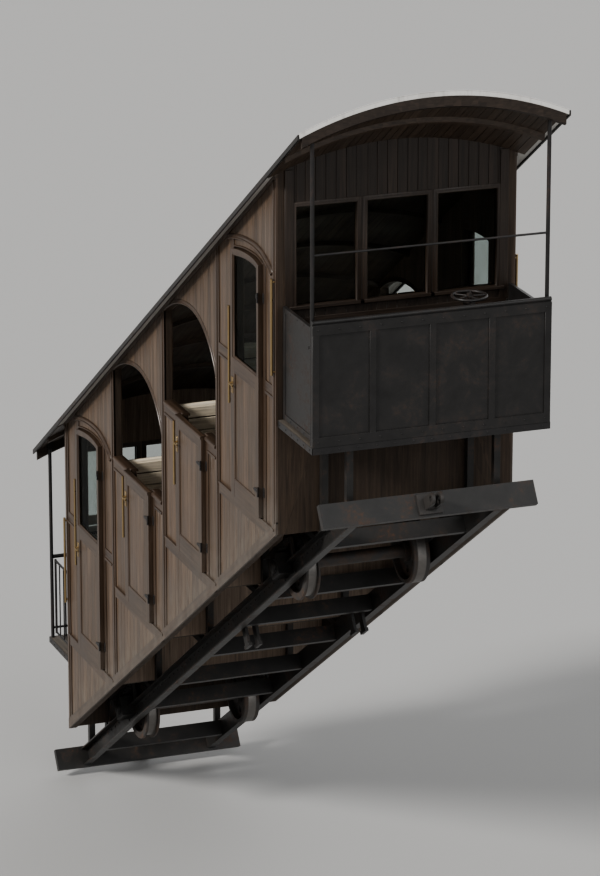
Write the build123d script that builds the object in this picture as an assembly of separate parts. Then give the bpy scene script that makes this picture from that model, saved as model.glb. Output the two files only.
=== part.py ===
from build123d import *
import math
import os

# Funicular car, modelled in its working attitude on a 66 % incline, millimetres.
# +X is level and points uphill, +Y is across the car, +Z is up. Facing uphill, the
# right side is at -Y. The origin lies on the plane of the rail tops, midway between
# the rails and midway between the two wheelsets.
# Two ways of placing things are used:
#   level pieces        x, y, z as they are
#   slope pieces        u up the incline, y across, w square to the rail plane
# "above the rail line" means measured straight up from the plane of the rail tops.

os.makedirs("parts", exist_ok=True)

# ---------------------------------------------------------------- incline
GRADE = 0.66
ALPHA = math.degrees(math.atan(GRADE))
COS_A = 1.0 / math.sqrt(1.0 + GRADE * GRADE)
SIN_A = GRADE * COS_A
SLOPE = Rot(0, -ALPHA, 0)

# ---------------------------------------------------------------- body
BAY = 1550.0            # level length of one compartment
BAYS = 4
X_LOW = -BAY * BAYS / 2  # downhill face of the body
X_TOP = -X_LOW           # uphill face of the body
STEP = GRADE * BAY       # rise from one compartment floor to the next
FLOOR_UP = 1430.0       # floor at a bay's downhill end, above the rail line
EAVE_UP = 3600.0        # eave above the rail line
SKIRT_UP = 375.0        # lower edge of the side walls above the rail line
BODY_HALF = 1100.0
WALL = 60.0
INNER = BODY_HALF - WALL
END_WALL = 40.0
PARTITION = 30.0
PARTITION_TOP = 1235.0  # above the floor of the upper bay
FLOOR_T = 40.0
JOIST = 80.0

# ---------------------------------------------------------------- roof
ROOF_X0, ROOF_X1 = -3800.0, 3980.0
ROOF_HALF = 1225.0
ROOF_RISE = 260.0
ROOF_T = 28.0
RIB_DEPTH = 55.0
RIB_T = 45.0
END_ARCH_DEPTH = 105.0
END_ARCH_T = 30.0

# ---------------------------------------------------------------- openings
PILLAR = 50.0           # half of the pillar between two bays
SILL = 1310.0           # waist of every bay, and top of the open bays' doors
OPEN_BAYS = (1, 2)      # counted from 0 at the downhill end
CLOSED_BAYS = (0, 3)
# arches over a bay, heights above its floor. The open bays' arches are lopsided:
# they spring higher on the downhill side.
ARCH_OPEN = {"low": 2200.0, "crown": 2420.0, "at": 800.0, "high": 1970.0}
ARCH_CLOSED = {"low": 2290.0, "crown": 2490.0, "at": 1000.0, "high": 2330.0}

# ---------------------------------------------------------------- doors
DOORWAY_X0, DOORWAY_X1 = 500.0, 1130.0  # doorway, from the bay's downhill end
DOORWAY_DROP = 160.0    # from the closed bays' arch down to the head of their doorways
DOOR_X = 470.0          # the leaf laps over the wall's outside
DOOR_W = 730.0
DOOR_T = 50.0
DOOR_OFF = 6.0          # leaf's inner face outside the wall's face
DOOR_DROP = 130.0       # from the closed bays' arch down to the head of their doors
DOOR_H = 2300.0         # their height at the free edge
DOOR_FOOT = 12.0
HINGE_GAP = 4.0         # hinge pin uphill of the leaf's edge
HINGE_R = 9.0           # the pin also lies this far outside the leaf
HINGE_L = 90.0
DOOR_RAIL = 50.0        # stiles and head of a glazed door round its glass
GRAB_X = 400.0          # grab rail beside each door

# ---------------------------------------------------------------- platforms
UP_FLOOR = GRADE * X_TOP + FLOOR_UP
LOW_FLOOR = -908.0
PLATFORM_T = 60.0
POST_R = 18.0
DASH_H = 1100.0
LOW_RAIL_H = 880.0
UP_POST_X = 3898.0
LOW_POST_X = -3735.0
POST_Y = 1080.0

# ---------------------------------------------------------------- underframe
SOLE_WEB = 640.0        # inner face of a solebar's web
SOLE_T = 14.0
SOLE_OUT = 720.0
SOLE_W0, SOLE_W1 = 120.0, 300.0
SOLE_U0, SOLE_U1 = -4560.0, 4760.0
AXLE_U = 2755.0         # wheelsets at -AXLE_U and +AXLE_U up the incline
WHEEL_R = 300.0
FLANGE_R = 330.0
RAIL_Y = 530.0          # centre of each rail head
AXLE_R = 60.0
JOURNAL_R = 45.0

NODES = {}


def flat(things):
    out = []
    for t in things:
        if isinstance(t, (list, tuple)):
            out += flat(t)
        else:
            out += list(t.solids())
    return out


def node(name, *things):
    NODES[name] = flat(things)


def join(first, *rest):
    for r in rest:
        first = first + r
    return first


def box(x0, x1, y0, y1, z0, z1):
    return Pos((x0 + x1) / 2, (y0 + y1) / 2, (z0 + z1) / 2) * Box(
        abs(x1 - x0), abs(y1 - y0), abs(z1 - z0)
    )


def slope_box(u0, u1, y0, y1, w0, w1):
    return SLOPE * box(u0, u1, y0, y1, w0, w1)


def plate(points_xz, y0, y1):
    """A flat plate with its outline in X and Z, from y0 to y1."""
    wire = Wire.make_polygon([(x, y0, z) for x, z in points_xz], close=True)
    return Solid.extrude(Face(wire), Vector(0, y1 - y0, 0))


def rod(p, q, r):
    p, q = Vector(*p), Vector(*q)
    d = q - p
    return Solid.make_cylinder(r, d.length, Plane(origin=p, z_dir=d))


def slope_point(u, y, w):
    return (u * COS_A - w * SIN_A, y, u * SIN_A + w * COS_A)


def bay_x(k):
    return X_LOW + BAY * k


def bay_floor(k):
    return GRADE * bay_x(k) + FLOOR_UP


def arc_wire(x, half, z_edge, rise, depth):
    """A band between two arcs across the car, depth thick, at one x."""
    a, b, c = (x, -half, z_edge), (x, 0, z_edge + rise), (x, half, z_edge)
    lo = [(p[0], p[1], p[2] - depth) for p in (a, b, c)]
    return Wire(
        [
            Edge.make_three_point_arc(a, b, c),
            Edge.make_line(c, lo[2]),
            Edge.make_three_point_arc(lo[2], lo[1], lo[0]),
            Edge.make_line(lo[0], a),
        ]
    )


ROOF_R = (ROOF_HALF**2 + ROOF_RISE**2) / (2 * ROOF_RISE)


def soffit(y):
    """Height of the roof's underside above the eave line."""
    return math.sqrt(ROOF_R**2 - y**2) - (ROOF_R - ROOF_RISE)


def arc_run(x0, x1, half, top_up, depth):
    """A band under the roof's curve, run up the incline from x0 to x1.
    top_up is how far its upper face lies above the roof's underside."""
    z_edge = EAVE_UP + GRADE * x0 + soffit(half) + top_up
    face = Face(arc_wire(x0, half, z_edge, ROOF_RISE - soffit(half), depth))
    return Solid.extrude(face, Vector(x1 - x0, 0, GRADE * (x1 - x0)))


def above_roof():
    """Everything above the roof's underside, for trimming what meets it."""
    x0, x1, half = -4200.0, 4400.0, 1320.0
    z = EAVE_UP + GRADE * x0
    a = (x0, -half, z + soffit(half))
    b = (x0, 0, z + ROOF_RISE)
    c = (x0, half, z + soffit(half))
    wire = Wire(
        [
            Edge.make_three_point_arc(a, b, c),
            Edge.make_line(c, (x0, half, z + 2500)),
            Edge.make_line((x0, half, z + 2500), (x0, -half, z + 2500)),
            Edge.make_line((x0, -half, z + 2500), a),
        ]
    )
    return Solid.extrude(Face(wire), Vector(x1 - x0, 0, GRADE * (x1 - x0)))


ABOVE_ROOF = above_roof()


def arch_height(k, d, inset=0.0):
    """Height of bay k's arch above its floor, d from the bay's downhill end. The arch
    is two arcs that meet level at the crown, drawn in by inset."""
    arch = ARCH_OPEN if k in OPEN_BAYS else ARCH_CLOSED
    side, run = ("low", arch["at"] - PILLAR) if d < arch["at"] else ("high", BAY - PILLAR - arch["at"])
    rise = arch["crown"] - arch[side]
    r = (run * run + rise * rise) / (2 * rise)
    return arch["crown"] - r + math.sqrt((r - inset) ** 2 - (d - arch["at"]) ** 2)


def arch_cut(k, inset, z0, y0, y1):
    """The arched outline of bay k, drawn in by inset, from z0 above the floor."""
    arch = ARCH_OPEN if k in OPEN_BAYS else ARCH_CLOSED
    d0, d1, dc = PILLAR + inset, BAY - PILLAR - inset, arch["at"]

    def at(d, z=None):
        return (bay_x(k) + d, y0, bay_floor(k) + (arch_height(k, d, inset) if z is None else z))

    wire = Wire(
        [
            Edge.make_line(at(d0, z0), at(d1, z0)),
            Edge.make_line(at(d1, z0), at(d1)),
            Edge.make_three_point_arc(at(d1), at((d1 + dc) / 2), at(dc)),
            Edge.make_three_point_arc(at(dc), at((d0 + dc) / 2), at(d0)),
            Edge.make_line(at(d0), at(d0, z0)),
        ]
    )
    return Solid.extrude(Face(wire), Vector(0, y1 - y0, 0))


def under_arch(k, d0, d1, z0, drop, y0, y1):
    """A closed bay's upright slab between d0 and d1, its head drop inside the arch."""
    x, f = bay_x(k), bay_floor(k)
    blank = box(x + d0, x + d1, y0, y1, f + z0, f + ARCH_CLOSED["crown"])
    return blank & arch_cut(k, drop, 0, y0 - 1, y1 + 1)


# ================================================================ side walls
def side_wall(s):
    y0, y1 = sorted((s * INNER, s * BODY_HALF))
    top = EAVE_UP + 90
    wall = plate(
        [
            (X_LOW, SKIRT_UP + GRADE * X_LOW),
            (X_TOP, SKIRT_UP + GRADE * X_TOP),
            (X_TOP, top + GRADE * X_TOP),
            (X_LOW, top + GRADE * X_LOW),
        ],
        y0,
        y1,
    )
    wall = wall - ABOVE_ROOF
    for k in range(BAYS):
        x, f = bay_x(k), bay_floor(k)
        if k in OPEN_BAYS:
            wall = wall - box(x + DOORWAY_X0, x + DOORWAY_X1, y0 - 5, y1 + 5, f, f + SILL + 50)
            wall = wall - arch_cut(k, 0, SILL, y0 - 5, y1 + 5)
        else:
            wall = wall - under_arch(k, DOORWAY_X0, DOORWAY_X1, 0, DOORWAY_DROP, y0 - 5, y1 + 5)
    return wall


node("right_side_wall", side_wall(-1))
node("left_side_wall", side_wall(1))


# ================================================================ doors
DOOR_IN = BODY_HALF + DOOR_OFF
DOOR_OUT = DOOR_IN + DOOR_T


def pane_shape(k, y0, y1):
    return under_arch(k, DOOR_X + DOOR_RAIL, DOOR_X + DOOR_W - DOOR_RAIL, SILL, DOOR_DROP + DOOR_RAIL, y0, y1)


def door(s, k):
    x, f = bay_x(k) + DOOR_X, bay_floor(k)
    y0, y1 = sorted((s * DOOR_IN, s * DOOR_OUT))
    if k in OPEN_BAYS:
        top = SILL
        leaf = box(x, x + DOOR_W, y0, y1, f + DOOR_FOOT, f + top)
    else:
        top = DOOR_H
        leaf = under_arch(k, DOOR_X, DOOR_X + DOOR_W, DOOR_FOOT, DOOR_DROP, y0, y1)
        leaf = leaf - pane_shape(k, y0 - 5, y1 + 5)
    pin_x, pin_y = x + DOOR_W + HINGE_GAP, s * (DOOR_OUT + HINGE_R)
    for z in (f + 260, f + top - 260):
        # beside the glass a strap is no longer than the stile is wide
        reach = DOOR_RAIL if z > f + SILL else 130
        strap = box(pin_x - reach, pin_x - 2, *sorted((s * (DOOR_OUT - 2), s * (DOOR_OUT + 8))), z - 22, z + 22)
        knuckle = rod((pin_x, pin_y, z - HINGE_L / 2), (pin_x, pin_y, z + HINGE_L / 2), HINGE_R)
        leaf = leaf + strap + knuckle
    return leaf


def door_glass(s, k):
    ym = s * (DOOR_IN + DOOR_T / 2)
    return pane_shape(k, ym - 3, ym + 3)


for side, s in (("right", -1), ("left", 1)):
    for k in range(BAYS):
        node(f"{side}_door_{k + 1}", door(s, k))
        if k in CLOSED_BAYS:
            node(f"{side}_door_{k + 1}_glass", door_glass(s, k))

# ================================================================ end walls, partitions, floors
END_LIGHTS = (
    # y0, y1
    (-930, -380),
    (-275, 275),
    (380, 930),
)


def end_wall(x0, z_low, z_sill, z_head, z_top):
    wall = box(x0, x0 + END_WALL, -INNER, INNER, z_low, z_top) - ABOVE_ROOF
    for y0, y1 in END_LIGHTS:
        wall = wall - box(x0 - 5, x0 + END_WALL + 5, y0, y1, z_sill, z_head)
    return wall


LOW_SILL, LOW_HEAD = bay_floor(0) + 1060, bay_floor(0) + 1900
UP_SILL, UP_HEAD = UP_FLOOR + 1020, UP_FLOOR + 1900
node(
    "lower_end_wall",
    end_wall(X_LOW, SKIRT_UP + 30 + GRADE * X_LOW, LOW_SILL, LOW_HEAD, bay_floor(0) + 2700),
)
node(
    "upper_end_wall",
    end_wall(X_TOP - END_WALL, bay_floor(3) - FLOOR_T, UP_SILL, UP_HEAD, UP_FLOOR + 2700),
)
node(
    "compartment_partitions",
    [
        box(
            bay_x(k) - PARTITION / 2,
            bay_x(k) + PARTITION / 2,
            -INNER,
            INNER,
            bay_floor(k - 1) - FLOOR_T / 2,
            bay_floor(k) + PARTITION_TOP,
        )
        for k in range(1, BAYS)
    ],
)


def floor_span(k):
    x0 = X_LOW + END_WALL if k == 0 else bay_x(k) + PARTITION / 2
    x1 = X_TOP - END_WALL if k == BAYS - 1 else bay_x(k + 1) - PARTITION / 2
    return x0, x1


# joists across the car under each level floor: distance from the bay's downhill end
JOISTS = (20.0, 700.0)
LOWEST_JOIST = 45.0     # the lowest one stands clear of the end wall


def level_floor(k):
    """Boards of one level floor with the joists that carry them."""
    f = bay_floor(k)
    slab = box(*floor_span(k), -INNER, INNER, f - FLOOR_T, f)
    for d in JOISTS:
        x = bay_x(k) + (LOWEST_JOIST if k == 0 and d < LOWEST_JOIST else d)
        slab = slab + box(x, x + 60, -INNER, INNER, f - FLOOR_T - JOIST, f - FLOOR_T)
    return slab


node("compartment_floors", [level_floor(k) for k in range(BAYS)])
node(
    "platform_floors",
    box(X_TOP, ROOF_X1 - 20, -BODY_HALF, BODY_HALF, UP_FLOOR - PLATFORM_T, UP_FLOOR),
    box(ROOF_X0 + 20, X_LOW, -BODY_HALF, BODY_HALF, LOW_FLOOR - PLATFORM_T, LOW_FLOOR),
)

# ================================================================ benches
SEAT_UP, SEAT_DEEP, SEAT_T, BACK_T = 430.0, 415.0, 28.0, 22.0


def bench(x_back, facing, f, back_up):
    """facing +1 looks uphill. x_back is the face that the back stands against."""
    def bx(a, b, y0, y1, z0, z1):
        lo, hi = sorted((x_back + facing * a, x_back + facing * b))
        return box(lo, hi, y0, y1, f + z0, f + z1)

    w = INNER - 25
    seat = bx(5, SEAT_DEEP, -w, w, SEAT_UP - SEAT_T, SEAT_UP)
    back = bx(5, 5 + BACK_T, -w, w, SEAT_UP, back_up)
    legs = [bx(30, SEAT_DEEP - 40, y - 18, y + 18, 0, SEAT_UP - SEAT_T) for y in (-w + 60, 0, w - 60)]
    return seat, back, legs


seats, backs, supports = [], [], []
for k in range(BAYS):
    x0, x1 = floor_span(k)
    for x, facing, back_up in ((x0, 1, PARTITION_TOP - 5), (x1, -1, 985)):
        seat, back, legs = bench(x, facing, bay_floor(k), back_up)
        seats.append(seat)
        backs.append(back)
        supports.append(legs)
node("bench_seats", seats)
node("bench_backs", backs)
node("bench_supports", supports)

# ================================================================ roof
node("roof_shell", arc_run(ROOF_X0, ROOF_X1, ROOF_HALF, ROOF_T, ROOF_T))
RIB_X = [bay_x(k) + BAY / 2 * j for k in range(BAYS) for j in (0, 1)][1:] + [-3430.0, 3520.0]
node(
    "roof_ribs",
    [
        arc_run(x - RIB_T / 2, x + RIB_T / 2, INNER if X_LOW < x < X_TOP else 1190.0, 0, RIB_DEPTH)
        for x in RIB_X
    ],
)
node(
    "roof_end_arches",
    arc_run(ROOF_X0, ROOF_X0 + END_ARCH_T, 1200.0, 0, END_ARCH_DEPTH),
    arc_run(ROOF_X1 - END_ARCH_T, ROOF_X1, 1200.0, 0, END_ARCH_DEPTH),
)


def slope_run(points_yz, x0, x1):
    wire = Wire.make_polygon([(x0, y, z + GRADE * x0) for y, z in points_yz], close=True)
    return Solid.extrude(Face(wire), Vector(x1 - x0, 0, GRADE * (x1 - x0)))


node(
    "eave_gutters",
    [
        slope_run(
            [
                (s * ROOF_HALF, EAVE_UP - 22),
                (s * (ROOF_HALF + 16), EAVE_UP - 22),
                (s * (ROOF_HALF + 16), EAVE_UP + ROOF_T - 4),
                (s * ROOF_HALF, EAVE_UP + ROOF_T - 4),
            ],
            ROOF_X0,
            ROOF_X1,
        )
        for s in (-1, 1)
    ],
)

# ================================================================ platforms
POST_CAP = 30.0


def roof_post(x, f, s):
    """A round post, its head let up to the roof's underside by a small block."""
    y0, y1 = s * POST_Y - POST_CAP, s * POST_Y + POST_CAP
    low = EAVE_UP + GRADE * (x - POST_CAP) + soffit(POST_Y + POST_CAP)
    block = box(x - POST_CAP, x + POST_CAP, y0, y1, low - 30, low + 90) - ABOVE_ROOF
    return block + rod((x, s * POST_Y, f), (x, s * POST_Y, low - 10), POST_R)


DASH_X = 3930.0
up_posts = [roof_post(UP_POST_X, UP_FLOOR, s) for s in (-1, 1)]
high_bar = rod((UP_POST_X, -POST_Y, UP_FLOOR + 1690), (UP_POST_X, POST_Y, UP_FLOOR + 1690), 10)
node("roof_posts", join(*up_posts, high_bar), [roof_post(LOW_POST_X, LOW_FLOOR, s) for s in (-1, 1)])
dash_rail = rod((DASH_X + 12.5, -BODY_HALF, UP_FLOOR + DASH_H + 10), (DASH_X + 12.5, BODY_HALF, UP_FLOOR + DASH_H + 10), 20)
node(
    "upper_dash",
    box(DASH_X, DASH_X + 25, -BODY_HALF, BODY_HALF, UP_FLOOR, UP_FLOOR + DASH_H) + dash_rail,
)

# open railing across the downhill end of the lower platform
# Each tube is a solid of its own, so that the gaps between the bars stay open.
low_rail = rod((LOW_POST_X, -POST_Y + POST_R, LOW_FLOOR + LOW_RAIL_H), (LOW_POST_X, POST_Y - POST_R, LOW_FLOOR + LOW_RAIL_H), 20)
low_foot = rod((LOW_POST_X, -POST_Y + POST_R, LOW_FLOOR + 110), (LOW_POST_X, POST_Y - POST_R, LOW_FLOOR + 110), 12)
low_bars = []
for i in range(-7, 8):
    bar = rod((LOW_POST_X, i * 134.0, LOW_FLOOR), (LOW_POST_X, i * 134.0, LOW_FLOOR + LOW_RAIL_H), 9)
    low_foot = low_foot - bar
    low_bars.append(bar - low_rail)
node("lower_railing", low_rail, low_bars, low_foot.solids())

# side gates, hinged at the body's corner and swinging inward
GATE_T, GATE_Y, GATE_PIN_Y, GATE_PIN_X = 25.0, 1040.0, 1028.0, 40.0


def upper_gate(s):
    x0, x1 = X_TOP + GATE_PIN_X + 6, UP_POST_X - POST_R - 12
    y0, y1 = sorted((s * GATE_Y, s * (GATE_Y + GATE_T)))
    leaf = box(x0, x1, y0, y1, UP_FLOOR + 25, UP_FLOOR + 1040)
    for z in (UP_FLOOR + 200, UP_FLOOR + 860):
        px, py = X_TOP + GATE_PIN_X, s * GATE_PIN_Y
        leaf = leaf + box(px, x0 + 60, *sorted((s * (GATE_PIN_Y - 4), s * GATE_Y)), z - 18, z + 18)
        leaf = leaf + rod((px, py, z - 35), (px, py, z + 35), 10)
    return leaf


def lower_gate(s):
    x0, x1 = LOW_POST_X + POST_R + 12, X_LOW - GATE_PIN_X - 6
    y = s * (GATE_Y + 12)
    top, foot = LOW_FLOOR + LOW_RAIL_H - 20, LOW_FLOOR + 60
    leaf = join(
        rod((x0 + 12, y, foot), (x0 + 12, y, top), 12),
        rod((x1 - 12, y, foot), (x1 - 12, y, top), 12),
        rod((x0 + 12, y, top - 12), (x1 - 12, y, top - 12), 12),
        rod((x0 + 12, y, foot + 12), (x1 - 12, y, foot + 12), 10),
    )
    n = 4
    for i in range(1, n):
        xi = x0 + 12 + (x1 - x0 - 24) * i / n
        leaf = leaf + rod((xi, y, foot + 12), (xi, y, top - 12), 7)
    for z in (foot + 120, top - 150):
        px, py = X_LOW - GATE_PIN_X, s * GATE_PIN_Y
        leaf = leaf + box(x1 - 20, px, *sorted((s * (GATE_PIN_Y - 4), s * (GATE_Y + 12))), z - 15, z + 15)
        leaf = leaf + rod((px, py, z - 30), (px, py, z + 30), 10)
    return leaf


for side, s in (("right", -1), ("left", 1)):
    node(f"upper_gate_{side}", upper_gate(s))
    node(f"lower_gate_{side}", lower_gate(s))

# hand brake on the upper platform
COL_X, COL_Y = 3720.0, 430.0
column = join(
    rod((COL_X, COL_Y, UP_FLOOR), (COL_X, COL_Y, UP_FLOOR + 20), 75),
    rod((COL_X, COL_Y, UP_FLOOR + 15), (COL_X, COL_Y, UP_FLOOR + 1020), 34),
    rod((COL_X, COL_Y, UP_FLOOR + 1000), (COL_X, COL_Y, UP_FLOOR + 1080), 52),
)
wheel_z = UP_FLOOR + 1140
hand = rod((COL_X, COL_Y, UP_FLOOR + 1070), (COL_X, COL_Y, wheel_z + 25), 24)
for i in range(5):
    a = math.radians(72 * i + 10)
    c, d = math.cos(a), math.sin(a)
    hand = hand + rod((COL_X + 15 * c, COL_Y + 15 * d, wheel_z), (COL_X + 145 * c, COL_Y + 145 * d, wheel_z), 8)
hand = hand + Pos(COL_X, COL_Y, wheel_z) * Torus(150, 13)
node("hand_brake", column + hand)

# ================================================================ handrails on the outside
def grab(x, s, z0, z1):
    y = s * (BODY_HALF + 45)
    bar = rod((x, y, z0), (x, y, z1), 12)
    for z in (z0 + 30, z1 - 30):
        bar = bar + rod((x, s * BODY_HALF, z), (x, y, z), 9)
    return bar


rails = []
for s in (-1, 1):
    for k in CLOSED_BAYS:
        rails.append(grab(bay_x(k) + GRAB_X, s, bay_floor(k) + 850, bay_floor(k) + 1750))
    for k in OPEN_BAYS:
        rails.append(grab(bay_x(k) + GRAB_X, s, bay_floor(k) + 620, bay_floor(k) + 1240))
    rails.append(grab(X_TOP - 35, s, UP_FLOOR + 400, UP_FLOOR + 1270))
    rails.append(grab(X_LOW + 35, s, LOW_FLOOR + 620, LOW_FLOOR + 1520))
node("grab_rails", rails)

# ================================================================ glass
GLASS = 6.0
panes = []
for x0, z_sill, z_head in ((X_LOW, LOW_SILL, LOW_HEAD), (X_TOP - END_WALL, UP_SILL, UP_HEAD)):
    for y0, y1 in END_LIGHTS:
        xm = x0 + END_WALL / 2
        panes.append(box(xm - GLASS / 2, xm + GLASS / 2, y0, y1, z_sill, z_head))
node("window_glass", panes)


# ================================================================ underframe
def solebar(s):
    def sb(u0, u1, a, b, w0, w1):
        return slope_box(u0, u1, *sorted((s * a, s * b)), w0, w1)

    bar = join(
        sb(SOLE_U0, SOLE_U1, SOLE_WEB, SOLE_WEB + SOLE_T, SOLE_W0, SOLE_W1),
        sb(SOLE_U0, SOLE_U1, SOLE_WEB, SOLE_OUT, SOLE_W0, SOLE_W0 + SOLE_T),
        sb(SOLE_U0, SOLE_U1, SOLE_WEB, SOLE_OUT, SOLE_W1 - SOLE_T, SOLE_W1),
    )
    for u in (-AXLE_U, AXLE_U):
        # horn plate, and the flange cut away for the axlebox
        bar = bar + sb(u - 190, u + 190, SOLE_WEB, SOLE_WEB + SOLE_T, SOLE_W0, 430)
        bar = bar - sb(u - 120, u + 120, SOLE_WEB + SOLE_T, SOLE_OUT + 5, SOLE_W1 - SOLE_T - 5, SOLE_W1 + 5)
        hole = rod(slope_point(u, s * (SOLE_WEB - 20), WHEEL_R), slope_point(u, s * (SOLE_OUT), WHEEL_R), 72)
        bar = bar - hole
    return bar


node("solebars", solebar(-1), solebar(1))

CROSS_U = (-4000.0, -2150.0, -1150.0, 0.0, 1150.0, 2150.0, 3900.0)
HEAD_Y = 1000.0
node(
    "cross_members",
    [slope_box(u - 35, u + 35, -SOLE_WEB, SOLE_WEB, SOLE_W0 + 15, SOLE_W1 - 15) for u in CROSS_U],
    slope_box(SOLE_U0 - 60, SOLE_U0, -HEAD_Y, HEAD_Y, SOLE_W0 - 20, SOLE_W1 + 20),
    slope_box(SOLE_U1, SOLE_U1 + 60, -HEAD_Y, HEAD_Y, SOLE_W0 - 20, SOLE_W1 + 20),
)

# trestles: an upright and a level bearer on each solebar under each floor
SOLE_TOP_UP = SOLE_W1 / COS_A
TRESTLE_Y = (656.0, 716.0)


def above_sole(x):
    return GRADE * x + SOLE_TOP_UP


BEARER_T = 60.0
UPRIGHT_T = 60.0


def upright(x, z_top):
    """Outline in X and Z of an upright on a solebar. x is its downhill face."""
    return [(x, above_sole(x)), (x + UPRIGHT_T, above_sole(x + UPRIGHT_T)), (x + UPRIGHT_T, z_top), (x, z_top)]


def bearer(x, z_top):
    """Outline of the level bearer from an upright to where it meets the solebar."""
    x_top, x_low = ((z - SOLE_TOP_UP) / GRADE for z in (z_top, z_top - BEARER_T))
    return [(x, z_top - BEARER_T), (x_low, z_top - BEARER_T), (x_top, z_top), (x, z_top)]


BAY_UPRIGHTS = [
    # x of the upright, top of the bearer it carries
    (bay_x(k) + (LOWEST_JOIST if k == 0 else JOISTS[0]), bay_floor(k) - FLOOR_T - JOIST)
    for k in range(BAYS)
]
PLATFORM_UPRIGHTS = [
    # x, top
    (-3740.0, LOW_FLOOR - PLATFORM_T),
    (-3170.0, LOW_FLOOR - PLATFORM_T),
    (3110.0, UP_FLOOR - PLATFORM_T),
    (3720.0, UP_FLOOR - PLATFORM_T),
]
uprights, bearers = [], []
for s in (-1, 1):
    y0, y1 = sorted((s * TRESTLE_Y[0], s * TRESTLE_Y[1]))
    for x, z in PLATFORM_UPRIGHTS:
        uprights.append(plate(upright(x, z), y0, y1))
    for x, z in BAY_UPRIGHTS:
        uprights.append(plate(upright(x, z - BEARER_T), y0, y1))
        bearers.append(plate(bearer(x, z), y0, y1))
node("floor_uprights", uprights)
node("floor_bearers", bearers)


# ================================================================ running gear
def axlebox(u, s):
    body = slope_box(u - 110, u + 110, *sorted((s * 655, s * 795)), 205, 395)
    cap = rod(slope_point(u, s * 795, WHEEL_R), slope_point(u, s * 812, WHEEL_R), 70)
    bore = rod(slope_point(u, s * 640, WHEEL_R), slope_point(u, s * 775, WHEEL_R), JOURNAL_R + 1)
    return body + cap - bore


LEAVES = (
    # half length, layer
    (350.0, 0),
    (280.0, 1),
    (210.0, 2),
    (140.0, 3),
)


def spring(u, s):
    ya, yb = sorted((s * 690, s * 760))
    sp = slope_box(u - 60, u + 60, ya, yb, 396, 416)
    for half, layer in LEAVES:
        w1 = 470 - 14 * layer
        sp = sp + slope_box(u - half, u + half, ya, yb, w1 - 14, w1)
    for d in (-350, 350):
        sp = sp + slope_box(u + d - 16, u + d + 16, *sorted((s * 690, s * 718)), SOLE_W1, 470)
    return sp


ENDS = [(u, s) for u in (-AXLE_U, AXLE_U) for s in (-1, 1)]
node("axleboxes", [axlebox(u, s) for u, s in ENDS])
node("axle_springs", [spring(u, s) for u, s in ENDS])


def turned(u, profile):
    """A body of revolution about an axle. profile lists (y, radius)."""
    ys = [p[0] for p in profile]
    pts = [(0, ys[0])] + [(r, y) for y, r in profile] + [(0, ys[-1])]
    wire = Wire.make_polygon([(r, y, 0) for r, y in pts], close=True)
    body = Solid.revolve(Face(wire), 360, Axis((0, 0, 0), (0, 1, 0)))
    return Pos(*slope_point(u, 0, WHEEL_R)) * body


def wheelset(u):
    axle = turned(
        u,
        [
            (-765, JOURNAL_R), (-628, JOURNAL_R), (-628, AXLE_R), (-610, AXLE_R),
            (610, AXLE_R), (628, AXLE_R), (628, JOURNAL_R), (765, JOURNAL_R),
        ],
    )
    # double-flanged wheel on the right rail
    grooved = turned(
        u,
        [
            (-612, 95), (-560, 95), (-556, 255), (-600, 262), (-600, FLANGE_R - 6), (-590, FLANGE_R),
            (-578, FLANGE_R), (-570, WHEEL_R), (-490, WHEEL_R), (-482, FLANGE_R), (-470, FLANGE_R),
            (-460, FLANGE_R - 6), (-460, 262), (-504, 255), (-500, 95), (-448, 95),
        ],
    )
    # plain wide roller on the left rail
    roller = turned(
        u,
        [
            (448, 95), (500, 95), (504, 255), (450, 262), (450, WHEEL_R - 6), (456, WHEEL_R),
            (604, WHEEL_R), (610, WHEEL_R - 6), (610, 262), (556, 255), (560, 95), (612, 95),
        ],
    )
    for i in range(6):
        a = math.radians(60 * i + 30)
        for y in (-530, 530):
            c = slope_point(u, y, WHEEL_R)
            hole = rod(
                (c[0] + 175 * math.cos(a), y - 60, c[2] + 175 * math.sin(a)),
                (c[0] + 175 * math.cos(a), y + 60, c[2] + 175 * math.sin(a)),
                38,
            )
            if y < 0:
                grooved = grooved - hole
            else:
                roller = roller - hole
    return axle + grooved + roller


node("lower_wheelset", wheelset(-AXLE_U))
node("upper_wheelset", wheelset(AXLE_U))

# rail brake: a pair of tongs over each rail head, hung from a cross member
TONG_U = 1150.0
tongs = []
for y in (-RAIL_Y, RAIL_Y):
    t = slope_box(TONG_U - 230, TONG_U - 35, y - 60, y + 60, 230, 285)
    for d in (-1, 1):
        a, b = sorted((y + d * 38, y + d * 66))
        t = t + slope_box(TONG_U - 200, TONG_U - 100, a, b, -8, 235)
        a, b = sorted((y + d * 34, y + d * 66))
        t = t + slope_box(TONG_U - 230, TONG_U - 70, a, b, -38, -6)
    tongs.append(t)
shaft = rod(slope_point(TONG_U - 150, -RAIL_Y, 255), slope_point(TONG_U - 150, RAIL_Y, 255), 20)
node("rail_brake", join(tongs[0], tongs[1], shaft))

# ================================================================ drawgear
CLEVIS_R, EAR_T, EAR_GAP = 25.0, 28.0, 50.0


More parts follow.
